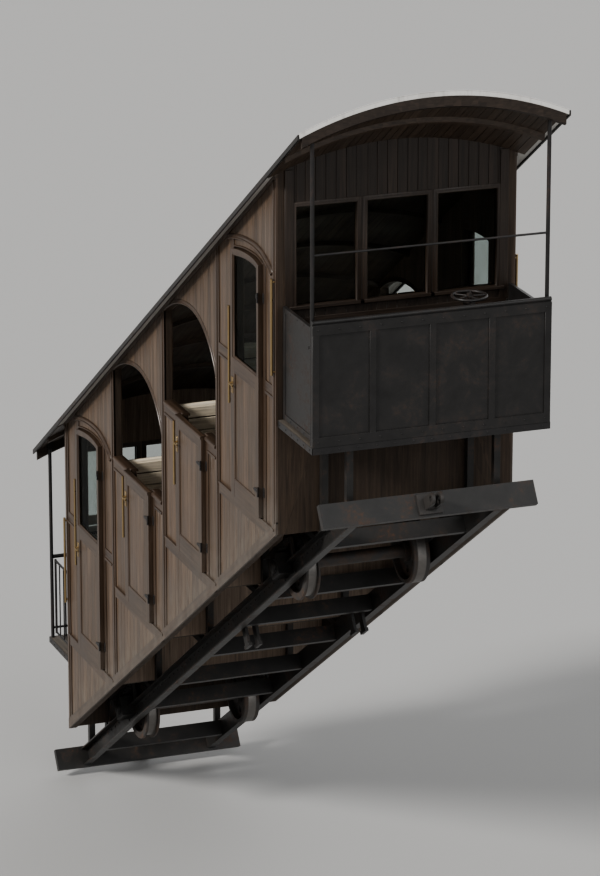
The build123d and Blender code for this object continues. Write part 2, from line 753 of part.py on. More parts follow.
def clevis(u_root, d, w):
    """d = +1 points uphill. Returns one solid with two bored ears."""
    def cb(a, b, y0, y1, w0, w1):
        lo, hi = sorted((u_root + d * a, u_root + d * b))
        return slope_box(lo, hi, y0, y1, w0, w1)

    y_in, y_out = EAR_GAP / 2, EAR_GAP / 2 + EAR_T
    c = cb(0, 24, -110, 110, w - 90, w + 90) + cb(24, 70, -y_out, y_out, w - 55, w + 55)
    for s in (-1, 1):
        ya, yb = sorted((s * y_in, s * y_out))
        c = c + cb(70, 190, ya, yb, w - 55, w + 55)
        c = c + rod(slope_point(u_root + d * 190, ya, w), slope_point(u_root + d * 190, yb, w), 55)
    hole = rod(slope_point(u_root + d * 190, -y_out - 5, w), slope_point(u_root + d * 190, y_out + 5, w), CLEVIS_R)
    return c - hole


CLEVIS_W = (SOLE_W0 + SOLE_W1) / 2
node("draw_clevises", clevis(SOLE_U1 + 60, 1, CLEVIS_W), clevis(SOLE_U0 - 60, -1, CLEVIS_W))

# ================================================================ write
for name, solids in NODES.items():
    shape = solids[0] if len(solids) == 1 else Compound(solids)
    export_step(shape, f"parts/{name}.step")
print(len(NODES), "nodes")
print("rope_pin", [round(v, 3) for v in slope_point(SOLE_U1 + 60 + 190, 0, CLEVIS_W)])
print("tow_pin", [round(v, 3) for v in slope_point(SOLE_U0 - 60 - 190, 0, CLEVIS_W)])
print("axles", [[round(v, 3) for v in slope_point(u, 0, WHEEL_R)] for u in (-AXLE_U, AXLE_U)])
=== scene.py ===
import bpy
import math
import random
from mathutils import Vector, Matrix


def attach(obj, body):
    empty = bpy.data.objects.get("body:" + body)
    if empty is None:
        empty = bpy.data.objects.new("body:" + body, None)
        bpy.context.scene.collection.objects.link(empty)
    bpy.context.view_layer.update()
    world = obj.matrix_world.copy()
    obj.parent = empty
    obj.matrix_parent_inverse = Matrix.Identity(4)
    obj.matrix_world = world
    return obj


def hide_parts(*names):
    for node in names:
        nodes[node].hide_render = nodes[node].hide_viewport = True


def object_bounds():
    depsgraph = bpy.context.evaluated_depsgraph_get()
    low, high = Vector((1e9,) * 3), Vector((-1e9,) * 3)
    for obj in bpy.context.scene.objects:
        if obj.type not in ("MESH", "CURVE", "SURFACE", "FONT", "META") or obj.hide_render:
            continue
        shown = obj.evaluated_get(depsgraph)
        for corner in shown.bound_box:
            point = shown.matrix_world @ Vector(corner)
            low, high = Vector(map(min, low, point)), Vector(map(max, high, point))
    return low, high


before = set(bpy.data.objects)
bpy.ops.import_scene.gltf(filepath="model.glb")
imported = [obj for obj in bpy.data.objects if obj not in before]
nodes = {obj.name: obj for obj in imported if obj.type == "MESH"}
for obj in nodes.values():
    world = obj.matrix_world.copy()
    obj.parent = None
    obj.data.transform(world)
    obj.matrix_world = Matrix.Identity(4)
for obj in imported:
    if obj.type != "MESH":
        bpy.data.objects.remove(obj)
cad_low, cad_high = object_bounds()
random.seed(11)

# ------------------------------------------------------------------ numbers shared with the model, in metres
GRADE = 0.66
ALPHA = math.atan(GRADE)
COS_A, SIN_A = math.cos(ALPHA), math.sin(ALPHA)
BAY, BAYS, X_LOW, X_TOP = 1.55, 4, -3.1, 3.1
FLOOR_UP, EAVE_UP, SKIRT_UP = 1.43, 3.6, 0.375
HALF, INNER = 1.1, 1.04
END_WALL, PARTITION, PARTITION_TOP = 0.04, 0.03, 1.235
ROOF_X0, ROOF_X1, ROOF_HALF, ROOF_RISE, ROOF_T = -3.8, 3.98, 1.225, 0.26, 0.028
PILLAR, SILL = 0.05, 1.31
OPEN_BAYS, CLOSED_BAYS = (1, 2), (0, 3)
ARCH_OPEN = {"low": 2.2, "crown": 2.42, "at": 0.8, "high": 1.97}
ARCH_CLOSED = {"low": 2.29, "crown": 2.49, "at": 1.0, "high": 2.33}
DOORWAY_X0, DOORWAY_X1, DOORWAY_DROP = 0.5, 1.13, 0.16
DOOR_DROP, DOOR_RAIL = 0.13, 0.05  # closed bays: from the arch to the door's head, and the frame round its glass
DOOR_X, DOOR_W, DOOR_T, DOOR_OFF, DOOR_H, DOOR_FOOT = 0.47, 0.73, 0.05, 0.006, 2.3, 0.012
HINGE_GAP, HINGE_R, DOOR_STILE = 0.004, 0.009, 0.09
LAP_X0, LAP_X1 = 0.46, 1.222  # what stands proud of the wall keeps out of the doors' lap
UP_FLOOR, LOW_FLOOR = GRADE * X_TOP + FLOOR_UP, -0.908
DASH_X, DASH_H, UP_POST_X, LOW_POST_X, POST_Y, LOW_RAIL_H = 3.93, 1.1, 3.898, -3.735, 1.08, 0.88
AXLE_U, WHEEL_R, RAIL_Y = 2.755, 0.3, 0.53
SOLE_WEB, SOLE_OUT, SOLE_W0, SOLE_W1, SOLE_U0, SOLE_U1 = 0.64, 0.72, 0.12, 0.3, -4.56, 4.76
ROOF_R = (ROOF_HALF**2 + ROOF_RISE**2) / (2 * ROOF_RISE)
SIDES = (("right", -1), ("left", 1))


def bay_x(k):
    return X_LOW + BAY * k


def bay_floor(k):
    return GRADE * bay_x(k) + FLOOR_UP


def soffit(y):
    return math.sqrt(ROOF_R**2 - y * y) - (ROOF_R - ROOF_RISE)


def skirt(x):
    return SKIRT_UP + GRADE * x


def eave(x, y=HALF):
    return EAVE_UP + GRADE * x + soffit(y)


def slope_point(u, y, w):
    return Vector((u * COS_A - w * SIN_A, y, u * SIN_A + w * COS_A))


def arch_top(k, d, inset=0.0):
    """Height of bay k's arch above its floor, d along the bay, drawn in by inset."""
    arch = ARCH_OPEN if k in OPEN_BAYS else ARCH_CLOSED
    side, run = ("low", arch["at"] - PILLAR) if d < arch["at"] else ("high", BAY - PILLAR - arch["at"])
    rise = arch["crown"] - arch[side]
    r = (run * run + rise * rise) / (2 * rise)
    return arch["crown"] - r + math.sqrt(max((r - inset) ** 2 - (d - arch["at"]) ** 2, 0))


# ------------------------------------------------------------------ mesh making
class Shape:
    """Collects closed solids for one piece."""

    def __init__(self):
        self.v, self.f, self.m = [], [], []

    def add(self, verts, faces, mat=0):
        n = len(self.v)
        self.v += [tuple(p) for p in verts]
        self.f += [tuple(n + i for i in f) for f in faces]
        self.m += [mat] * len(faces)

    def prism(self, poly, lo, hi, to3, mat=0):
        n = len(poly)
        a = [to3(p[0], p[1], lo) for p in poly]
        b = [to3(p[0], p[1], hi) for p in poly]
        faces = [tuple(range(n - 1, -1, -1)), tuple(range(n, 2 * n))]
        faces += [(i, (i + 1) % n, n + (i + 1) % n, n + i) for i in range(n)]
        self.add(a + b, faces, mat)

    def box(self, x0, x1, y0, y1, z0, z1, mat=0, turn=None):
        p = [(x, y, z) for z in (z0, z1) for x, y in ((x0, y0), (x1, y0), (x1, y1), (x0, y1))]
        if turn:
            p = [turn(*q) for q in p]
        self.add(p, [(3, 2, 1, 0), (4, 5, 6, 7), (0, 1, 5, 4), (1, 2, 6, 5), (2, 3, 7, 6), (3, 0, 4, 7)], mat)

    def slope_box(self, u0, u1, y0, y1, w0, w1, mat=0):
        self.box(u0, u1, y0, y1, w0, w1, mat, slope_point)

    def lathe(self, profile, origin, axis, n=24, mat=0, start=0.0):
        """A closed turned form. profile is (along, radius) from one end to the other."""
        axis = Vector(axis).normalized()
        side = axis.orthogonal().normalized()
        other = axis.cross(side)
        origin = Vector(origin)
        pts, rows = [], []
        for a, r in profile:
            if r < 1e-6:
                rows.append([len(pts)])
                pts.append(origin + axis * a)
                continue
            rows.append(list(range(len(pts), len(pts) + n)))
            for i in range(n):
                t = start + 2 * math.pi * i / n
                pts.append(origin + axis * a + (side * math.cos(t) + other * math.sin(t)) * r)
        faces = []
        for ra, rb in zip(rows, rows[1:]):
            for i in range(n):
                j = (i + 1) % n
                if len(ra) == 1 and len(rb) == 1:
                    break
                if len(ra) == 1:
                    faces.append((ra[0], rb[i], rb[j]))
                elif len(rb) == 1:
                    faces.append((ra[i], rb[0], ra[j]))
                else:
                    faces.append((ra[i], rb[i], rb[j], ra[j]))
        if len(rows[0]) > 1:
            faces.append(tuple(rows[0]))
        if len(rows[-1]) > 1:
            faces.append(tuple(reversed(rows[-1])))
        self.add(pts, faces, mat)

    def tube(self, p, q, r, n=14, mat=0):
        p, q = Vector(p), Vector(q)
        self.lathe([(0, r), ((q - p).length, r)], p, q - p, n, mat)

    def stud(self, p, axis, r=0.009, h=0.006, mat=0, n=10):
        """A domed rivet or bolt head standing on p."""
        self.lathe([(0, r), (h * 0.45, r * 0.96), (h * 0.8, r * 0.66), (h, 0)], p, axis, n, mat)

    def sweep(self, path, prof, to3, mat=0, closed=False):
        """prof (a, h) swept along a plane path: a is to the left of the path, h off the plane."""
        n, k = len(path), len(prof)
        rows = []
        for i, p in enumerate(path):
            p = Vector(p)
            prev = Vector(path[i - 1]) if i or closed else None
            nxt = Vector(path[(i + 1) % n]) if i < n - 1 or closed else None
            d1 = (p - prev).normalized() if prev else None
            d2 = (nxt - p).normalized() if nxt else None
            d1, d2 = d1 or d2, d2 or d1
            n1, n2 = Vector((-d1.y, d1.x)), Vector((-d2.y, d2.x))
            m = (n1 + n2).normalized()
            m /= max(m.dot(n1), 0.3)
            rows.append([to3(p.x + m.x * a, p.y + m.y * a, h) for a, h in prof])
        verts = [q for row in rows for q in row]
        faces = []
        for i in range(n if closed else n - 1):
            j = (i + 1) % n
            for t in range(k):
                s = (t + 1) % k
                faces.append((i * k + t, i * k + s, j * k + s, j * k + t))
        if not closed:
            faces += [tuple(range(k)), tuple(range((n - 1) * k + k - 1, (n - 1) * k - 1, -1))]
        self.add(verts, faces, mat)

    def pipe(self, path, r, n=10, mat=0, closed=False):
        """A round bar along points in space."""
        pts = [Vector(p) for p in path]
        count = len(pts)
        rows, normal = [], None
        for i, p in enumerate(pts):
            a = pts[(i - 1) % count] if i or closed else p
            b = pts[(i + 1) % count] if i < count - 1 or closed else p
            d = (b - a).normalized()
            if normal is None:
                normal = d.orthogonal().normalized()
            normal = (normal - d * normal.dot(d)).normalized()
            other = d.cross(normal)
            rows.append([p + (normal * math.cos(2 * math.pi * t / n) + other * math.sin(2 * math.pi * t / n)) * r for t in range(n)])
        verts = [q for row in rows for q in row]
        faces = []
        for i in range(count if closed else count - 1):
            j = (i + 1) % count
            for t in range(n):
                s = (t + 1) % n
                faces.append((i * n + t, i * n + s, j * n + s, j * n + t))
        if not closed:
            faces += [tuple(range(n)), tuple(range(count * n - 1, count * n - n - 1, -1))]
        self.add(verts, faces, mat)

    def make(self, name, mats, body="car_body", slot=None, hides=(), bevel=0.0, smooth=40, segments=1):
        mesh = bpy.data.meshes.new(name)
        mesh.from_pydata(self.v, [], self.f)
        mesh.polygons.foreach_set("material_index", self.m)
        mats = mats if isinstance(mats, (list, tuple)) else [mats]
        for m in mats:
            mesh.materials.append(m)
        obj = bpy.data.objects.new(name, mesh)
        bpy.context.scene.collection.objects.link(obj)
        import bmesh
        bm = bmesh.new()
        bm.from_mesh(mesh)
        bmesh.ops.recalc_face_normals(bm, faces=bm.faces)
        for f in bm.faces:
            f.smooth = True
        limit = math.radians(smooth)
        for e in bm.edges:
            if len(e.link_faces) == 2 and e.calc_face_angle(0) > limit:
                e.smooth = False
        bm.to_mesh(mesh)
        bm.free()
        if bevel:
            b = obj.modifiers.new("edge", "BEVEL")
            b.width = bevel
            b.segments = segments
            b.limit_method = "ANGLE"
            b.angle_limit = math.radians(35)
            b.harden_normals = False
        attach(obj, body)
        if hides:
            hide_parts(*hides)
        return obj


def side_out(s, base=HALF):
    return lambda u, v, h: (u, s * (base + h), v)


def side_in(s, base=INNER):
    return lambda u, v, h: (u, s * (base - h), v)


def face_x(x, d):
    """A plane across the car at x, standing proud towards d."""
    return lambda u, v, h: (x + d * h, u, v)


# ------------------------------------------------------------------ materials
class Nodes:
    def __init__(self, name):
        self.mat = bpy.data.materials.new(name)
        self.mat.use_nodes = True
        self.nt = self.mat.node_tree
        self.nt.nodes.clear()
        out = self.nt.nodes.new("ShaderNodeOutputMaterial")
        self.bsdf = self.nt.nodes.new("ShaderNodeBsdfPrincipled")
        self.nt.links.new(self.bsdf.outputs[0], out.inputs[0])
        self.coord = self.new("ShaderNodeTexCoord").outputs["Object"]

    def new(self, kind, **props):
        n = self.nt.nodes.new(kind)
        for k, v in props.items():
            setattr(n, k, v)
        return n

    def put(self, socket, value):
        if isinstance(value, bpy.types.NodeSocket):
            self.nt.links.new(value, socket)
        elif value is not None:
            socket.default_value = value

    def mapping(self, vec, scale=(1, 1, 1), rot=(0, 0, 0), loc=(0, 0, 0)):
        n = self.new("ShaderNodeMapping")
        self.put(n.inputs["Vector"], vec)
        n.inputs["Scale"].default_value = scale
        n.inputs["Rotation"].default_value = rot
        n.inputs["Location"].default_value = loc
        return n.outputs[0]

    def noise(self, vec, scale=1.0, detail=5, rough=0.55, dist=0.0):
        n = self.new("ShaderNodeTexNoise")
        self.put(n.inputs["Vector"], vec)
        n.inputs["Scale"].default_value = scale
        n.inputs["Detail"].default_value = detail
        n.inputs["Roughness"].default_value = rough
        n.inputs["Distortion"].default_value = dist
        return n.outputs["Fac"]

    def ramp(self, fac, stops):
        n = self.new("ShaderNodeValToRGB")
        self.put(n.inputs[0], fac)
        els = n.color_ramp.elements
        while len(els) < len(stops):
            els.new(0.5)
        for e, (p, c) in zip(els, stops):
            e.position = p
            e.color = (*c, 1) if len(c) == 3 else c
        return n.outputs[0]

    def range(self, v, a, b, c=0.0, d=1.0):
        n = self.new("ShaderNodeMapRange")
        self.put(n.inputs["Value"], v)
        for k, x in (("From Min", a), ("From Max", b), ("To Min", c), ("To Max", d)):
            n.inputs[k].default_value = x
        return n.outputs[0]

    def math(self, op, a, b=None):
        n = self.new("ShaderNodeMath", operation=op)
        self.put(n.inputs[0], a)
        self.put(n.inputs[1], b)
        return n.outputs[0]

    def mix(self, fac, a, b, blend="MIX"):
        n = self.new("ShaderNodeMix", data_type="RGBA", blend_type=blend)
        self.put(n.inputs["Factor"], fac)
        for sock, v in ((n.inputs["A"], a), (n.inputs["B"], b)):
            pass
        a_sock = [i for i in n.inputs if i.identifier == "A_Color"][0]
        b_sock = [i for i in n.inputs if i.identifier == "B_Color"][0]
        self.put(a_sock, (*a, 1) if isinstance(a, tuple) and len(a) == 3 else a)
        self.put(b_sock, (*b, 1) if isinstance(b, tuple) and len(b) == 3 else b)
        return [o for o in n.outputs if o.identifier == "Result_Color"][0]

    def bump(self, height, strength=0.3, distance=0.002, normal=None):
        n = self.new("ShaderNodeBump")
        n.inputs["Strength"].default_value = strength
        n.inputs["Distance"].default_value = distance
        self.put(n.inputs["Height"], height)
        if normal is not None:
            self.put(n.inputs["Normal"], normal)
        return n.outputs[0]

    def island(self):
        return self.new("ShaderNodeNewGeometry").outputs["Random Per Island"]

    def xyz(self, vec):
        n = self.new("ShaderNodeSeparateXYZ")
        self.put(n.inputs[0], vec)
        return n.outputs

    def shade(self, **k):
        names = {
            "color": "Base Color", "rough": "Roughness", "metal": "Metallic", "normal": "Normal", "spec": "Specular IOR Level",
            "coat": "Coat Weight", "coat_rough": "Coat Roughness", "alpha": "Alpha", "trans": "Transmission Weight", "ior": "IOR",
        }
        for key, v in k.items():
            if isinstance(v, tuple) and len(v) == 3:
                v = (*v, 1)
            self.put(self.bsdf.inputs[names[key]], v)
        return self.mat


GRAIN = {"z": ((0, 0, 0), (34, 34, 1.3)), "x": ((0, 0, 0), (1.3, 34, 34)), "y": ((0, 0, 0), (34, 1.3, 34)), "slope": ((0, ALPHA, 0), (1.3, 34, 34))}


def wood(name, dark, mid, light, grain="z", rough=0.45, coat=0.0, spread=0.5, weather=0.5, dirt=0.0):
    n = Nodes(name)
    rot, scale = GRAIN[grain]
    isle = n.island()
    shift = n.new("ShaderNodeCombineXYZ")
    for i, q in enumerate((7.3, 11.9, 5.1)):
        n.put(shift.inputs[i], n.math("MULTIPLY", isle, q))
    base = n.new("ShaderNodeVectorMath", operation="ADD")
    n.put(base.inputs[0], n.mapping(n.coord, rot=rot))
    n.put(base.inputs[1], shift.outputs[0])
    vec = n.mapping(base.outputs[0], scale=scale)
    figure = n.noise(vec, 1.0, 7, 0.62, 0.6)
    pores = n.noise(n.mapping(vec, scale=(3.1, 3.1, 3.1)), 1.0, 4, 0.7)
    col = n.ramp(figure, [(0.28, dark), (0.5, mid), (0.74, light)])
    lift = n.range(isle, 0, 1, 1 - 0.34 * spread, 1 + 0.26 * spread)
    tone = n.new("ShaderNodeCombineXYZ")
    for i in range(3):
        n.put(tone.inputs[i], lift)
    col = n.mix(1.0, col, tone.outputs[0], "MULTIPLY")
    col = n.mix(n.range(pores, 0.52, 0.7, 0.0, 0.55), col, tuple(c * 0.35 for c in dark))
    blotch = n.noise(n.mapping(n.coord, scale=(1.7, 1.7, 1.7)), 1.0, 4, 0.6)
    grey = tuple(0.35 * c + 0.65 * sum(mid) / 3 * 1.15 for c in mid)
    col = n.mix(n.range(blotch, 0.45, 0.75, 0.0, 0.75 * weather), col, grey)
    runs = n.noise(n.mapping(n.coord, scale=(26, 26, 0.9)), 1.0, 3, 0.6)
    col = n.mix(n.range(runs, 0.55, 0.75, 0.0, 0.4 * weather), col, tuple(c * 0.5 for c in dark))
    if dirt:
        p = n.xyz(n.coord)
        up = n.math("SUBTRACT", n.math("SUBTRACT", p[2], n.math("MULTIPLY", p[0], GRADE)), SKIRT_UP)
        splash = n.math("MULTIPLY", n.range(up, 0.0, 0.75, 1.0, 0.0), n.range(n.noise(n.mapping(n.coord, scale=(9, 9, 5)), 1.0, 5, 0.7), 0.35, 0.7, 0.15, 1.0))
        col = n.mix(n.math("MULTIPLY", splash, dirt), col, (0.16, 0.145, 0.125))
        rough_v = n.range(splash, 0, 1, rough, 0.85)
    else:
        rough_v = n.range(blotch, 0.3, 0.75, rough * 0.85, min(rough * 1.35, 0.95))
    height = n.math("ADD", n.math("MULTIPLY", figure, 0.5), n.math("MULTIPLY", pores, 0.6))
    return n.shade(color=col, rough=rough_v, normal=n.bump(height, 0.35, 0.0012), spec=0.4, coat=coat, coat_rough=0.25)


def iron(name, base=(0.02, 0.019, 0.018), rust=0.5, rough=0.42, dust=0.15):
    n = Nodes(name)
    a = n.noise(n.coord, 3.1, 8, 0.68, 0.3)
    b = n.noise(n.coord, 26.0, 6, 0.7)
    c = n.noise(n.coord, 110.0, 3, 0.6)
    worn = n.math("MULTIPLY", n.range(a, 0.5, 0.72), n.range(b, 0.42, 0.62))
    rusty = n.ramp(b, [(0.35, (0.055, 0.024, 0.012)), (0.6, (0.115, 0.052, 0.024)), (0.8, (0.17, 0.085, 0.04))])
    paint = n.ramp(a, [(0.3, tuple(x * 0.75 for x in base)), (0.7, tuple(x * 1.5 for x in base))])
    col = n.mix(n.math("MULTIPLY", worn, rust), paint, rusty)
    if dust:
        nz = n.xyz(n.new("ShaderNodeNewGeometry").outputs["Normal"])[2]
        top = n.math("MULTIPLY", n.range(nz, 0.8, 0.99), n.range(b, 0.3, 0.7, 0.3, 1.0))
        col = n.mix(n.math("MULTIPLY", top, dust), col, (0.11, 0.1, 0.09))
    height = n.math("ADD", n.math("MULTIPLY", b, 0.6), n.math("MULTIPLY", c, 0.4))
    return n.shade(color=col, rough=n.range(worn, 0, 1, rough, 0.85), normal=n.bump(height, 0.22, 0.0015), spec=0.35)


def roof_paint(name, base, dark):
    n = Nodes(name)
    big = n.noise(n.mapping(n.coord, scale=(1.1, 1.1, 1.1)), 1.0, 6, 0.62, 0.4)
    streak = n.noise(n.mapping(n.mapping(n.coord, rot=(0, ALPHA, 0)), scale=(0.8, 16, 5)), 1.0, 5, 0.62)
    fine = n.noise(n.coord, 70.0, 4, 0.6)
    col = n.mix(n.range(big, 0.35, 0.72, 0.0, 0.6), base, tuple(x * 0.72 for x in base))
    col = n.mix(n.range(streak, 0.5, 0.72, 0.0, 0.55), col, dark)
    rusty = n.math("MULTIPLY", n.range(big, 0.6, 0.75), n.range(n.noise(n.coord, 12.0, 6, 0.7), 0.5, 0.64))
    col = n.mix(n.math("MULTIPLY", rusty, 0.6), col, (0.19, 0.11, 0.065))
    return n.shade(color=col, rough=n.range(big, 0.3, 0.7, 0.55, 0.75), normal=n.bump(n.math("ADD", fine, n.math("MULTIPLY", big, 2.0)), 0.25, 0.002), spec=0.4)


def metal(name, base, rough=0.25, wear=0.3, dark=(0.1, 0.07, 0.03)):
    n = Nodes(name)
    a = n.noise(n.coord, 5.0, 4, 0.55)
    b = n.noise(n.coord, 160.0, 3, 0.6)
    col = n.mix(n.range(a, 0.4, 0.7, 0.0, wear), base, dark)
    return n.shade(color=col, metal=1.0, rough=n.range(a, 0.3, 0.75, rough * 0.7, rough * 1.8), normal=n.bump(b, 0.08, 0.0005))


def running_iron(name, axle):
    """Cast iron of a wheelset, its treads polished by the rail."""
    n = Nodes(name)
    p = n.new("ShaderNodeVectorMath", operation="SUBTRACT")
    n.put(p.inputs[0], n.coord)
    p.inputs[1].default_value = axle
    q = n.xyz(p.outputs[0])
    r = n.math("SQRT", n.math("ADD", n.math("POWER", q[0], 2.0), n.math("POWER", q[2], 2.0)))
    a = n.noise(n.coord, 6.0, 7, 0.68, 0.3)
    b = n.noise(n.coord, 45.0, 5, 0.7)
    across = n.math("ABSOLUTE", n.math("SUBTRACT", n.math("ABSOLUTE", q[1]), RAIL_Y))
    worn = n.math("MULTIPLY", n.range(r, 0.288, 0.297), n.range(across, 0.045, 0.036))
    tread = n.math("MULTIPLY", worn, n.range(a, 0.3, 0.6, 0.65, 1.0))
    rusty = n.ramp(b, [(0.35, (0.05, 0.026, 0.015)), (0.65, (0.11, 0.058, 0.03))])
    body = n.mix(n.math("MULTIPLY", n.range(a, 0.45, 0.68), 0.7), (0.035, 0.032, 0.03), rusty)
    col = n.mix(tread, body, (0.19, 0.18, 0.17))
    return n.shade(color=col, metal=tread, rough=n.range(tread, 0, 1, 0.65, 0.42), normal=n.bump(b, 0.25, 0.0015))


def glass(name):
    n = Nodes(name)
    a = n.noise(n.coord, 3.5, 4, 0.6)
    col = n.mix(n.range(a, 0.4, 0.75, 0.0, 0.6), (0.62, 0.67, 0.66), (0.50, 0.53, 0.50))
    return n.shade(color=col, rough=0.0, trans=1.0, ior=1.04)


DARK_PANEL = ((0.04, 0.025, 0.0155), (0.084, 0.054, 0.034), (0.135, 0.09, 0.058))
TRIM_WOOD = ((0.026, 0.016, 0.01), (0.054, 0.034, 0.022), (0.088, 0.057, 0.038))
# the end walls' woods are near-black copies of the side woods: painted shade for the ends, which stand in deep shade
# under the roof
SHADED_END_PANEL = ((0.012, 0.008, 0.006), (0.024, 0.016, 0.011), (0.04, 0.027, 0.019))
SHADED_END_TRIM = ((0.014, 0.009, 0.006), (0.03, 0.02, 0.014), (0.05, 0.034, 0.024))
# pale varnished bench wood, made paler still: painted sunlight on the bench backs and the partition cappings
PALE_WOOD_PAINTED_SUN = ((0.50, 0.41, 0.30), (0.74, 0.65, 0.51), (0.86, 0.78, 0.65))
FLOOR_WOOD = ((0.04, 0.032, 0.025), (0.08, 0.066, 0.052), (0.13, 0.11, 0.09))
CEIL_WOOD = ((0.03, 0.02, 0.014), (0.058, 0.04, 0.028), (0.09, 0.064, 0.045))
INNER_WOOD = ((0.078, 0.053, 0.037), (0.15, 0.106, 0.075), (0.23, 0.168, 0.12))

panel_z = wood("panel_boards", *DARK_PANEL, grain="z", rough=0.42, coat=0.12, spread=0.75, weather=0.55, dirt=0.75)
panel_back = wood("wall_core", *[tuple(c * 0.5 for c in q) for q in DARK_PANEL], grain="z", rough=0.7)
trim_z = wood("trim_upright", *TRIM_WOOD, grain="z", rough=0.4, coat=0.15, spread=0.35, weather=0.5, dirt=0.6)
trim_x = wood("trim_level", *TRIM_WOOD, grain="x", rough=0.4, coat=0.15, spread=0.35, weather=0.55, dirt=0.6)
trim_y = wood("trim_across", *TRIM_WOOD, grain="y", rough=0.4, coat=0.15, spread=0.35, weather=0.5)
trim_s = wood("trim_slope", *TRIM_WOOD, grain="slope", rough=0.4, coat=0.15, spread=0.35, weather=0.55, dirt=0.6)
inner_z = wood("inner_boards", *INNER_WOOD, grain="z", rough=0.5, spread=0.6, weather=0.3)
ceil_s = wood("ceiling_boards", *CEIL_WOOD, grain="slope", rough=0.5, spread=0.6, weather=0.3)
ceil_y = wood("ceiling_ribs", *CEIL_WOOD, grain="y", rough=0.5, spread=0.3, weather=0.3)
# bench and capping wood: its own pale varnish plus painted sunlight
bench_y = wood("bench_slats", *PALE_WOOD_PAINTED_SUN, grain="y", rough=0.38, coat=0.25, spread=0.45, weather=0.15)
bench_z = wood("bench_ends", *PALE_WOOD_PAINTED_SUN, grain="z", rough=0.4, coat=0.2, spread=0.4, weather=0.15)
floor_y = wood("floor_boards", *FLOOR_WOOD, grain="y", rough=0.75, spread=0.8, weather=0.8)
floor_x = wood("floor_boards_long", *FLOOR_WOOD, grain="x", rough=0.75, spread=0.8, weather=0.8)
black = iron("frame_paint", rust=0.75, dust=0.3)
black_fine = iron("platform_paint", (0.018, 0.017, 0.017), rust=0.35, rough=0.38, dust=0.1)
dash_mat = iron("dash_paint", (0.017, 0.016, 0.0155), rust=0.3, rough=0.42, dust=0.05)
forged = iron("forged_iron", (0.035, 0.032, 0.03), rust=0.6, rough=0.5, dust=0.0)
roof_mat = roof_paint("roof_paint", (0.60, 0.585, 0.555), (0.24, 0.22, 0.2))
roof_edge = roof_paint("roof_edge_paint", (0.66, 0.645, 0.615), (0.34, 0.32, 0.3))
gutter_mat = iron("gutter_paint", (0.022, 0.021, 0.02), rust=0.3)
brass_mat = metal("brass_rails", (0.40, 0.295, 0.16), 0.36, 0.5, (0.17, 0.12, 0.065))
glass_mat = glass("window_glass")
# outer end boards, end frames and roof end arches: painted shade in their colour
shaded_end_z = wood("end_boards", *SHADED_END_PANEL, grain="z", rough=0.5, spread=0.6, weather=0.35)
shaded_end_trim_z = wood("end_trim_upright", *SHADED_END_TRIM, grain="z", rough=0.45, spread=0.35, weather=0.3)
shaded_end_trim_y = wood("end_trim_across", *SHADED_END_TRIM, grain="y", rough=0.45, spread=0.35, weather=0.3)


def finish(name, mat):
    o = nodes[name]
    o.data.materials.clear()
    o.data.materials.append(mat)


for n_, m_ in (
    ("right_side_wall", panel_back), ("left_side_wall", panel_back), ("upper_end_wall", panel_back), ("lower_end_wall", panel_back),
    ("compartment_partitions", inner_z), ("compartment_floors", floor_y), ("platform_floors", floor_x),
    ("roof_shell", roof_mat), ("roof_ribs", ceil_y), ("roof_end_arches", shaded_end_trim_y), ("eave_gutters", gutter_mat),
    ("solebars", black), ("cross_members", black), ("floor_uprights", black), ("floor_bearers", black), ("axleboxes", black),
    ("axle_springs", black), ("rail_brake", black), ("draw_clevises", forged),
    ("roof_posts", black_fine), ("upper_dash", dash_mat), ("lower_railing", black_fine), ("hand_brake", black_fine),
    ("upper_gate_right", dash_mat), ("upper_gate_left", dash_mat), ("lower_gate_right", black_fine), ("lower_gate_left", black_fine),
    ("grab_rails", brass_mat), ("window_glass", glass_mat),
):
    finish(n_, m_)
for side, s in SIDES:
    for k in CLOSED_BAYS:
        finish(f"{side}_door_{k + 1}_glass", glass_mat)
finish("lower_wheelset", running_iron("lower_wheel_iron", tuple(slope_point(-AXLE_U, 0, WHEEL_R))))
finish("upper_wheelset", running_iron("upper_wheel_iron", tuple(slope_point(AXLE_U, 0, WHEEL_R))))

# ------------------------------------------------------------------ side walls: boards
GROOVE = 0.0011


def openings(k, d, outer):
    """Stretches of bay k's wall left bare at d, above its floor. Outside, the doors' lap is bare too."""
    out = []
    in_door = LAP_X0 < d < LAP_X1 if outer else DOORWAY_X0 < d < DOORWAY_X1
    if k in OPEN_BAYS:
        if PILLAR < d < BAY - PILLAR:
            out.append((0.0 if in_door else SILL, arch_top(k, d)))
    else:
        if in_door:
            out.append((0.0, arch_top(k, d, DOOR_DROP - 0.008 if outer else DOORWAY_DROP)))
    return out


def board_edges(a, b, count, cuts):
    """Edges of boards from a to b. Returns (x0, x1, groove at x0, groove at x1)."""
    marks = {round(a + (b - a) * i / count, 5): True for i in range(count + 1)}
    for c in cuts:
        for m in [m for m in marks if abs(m - c) < 0.014 and a < m < b]:
            del marks[m]
        if a < c < b:
            marks[round(c, 5)] = False
    xs = sorted(marks)
    return [(p, q, marks[p], marks[q]) for p, q in zip(xs, xs[1:])]


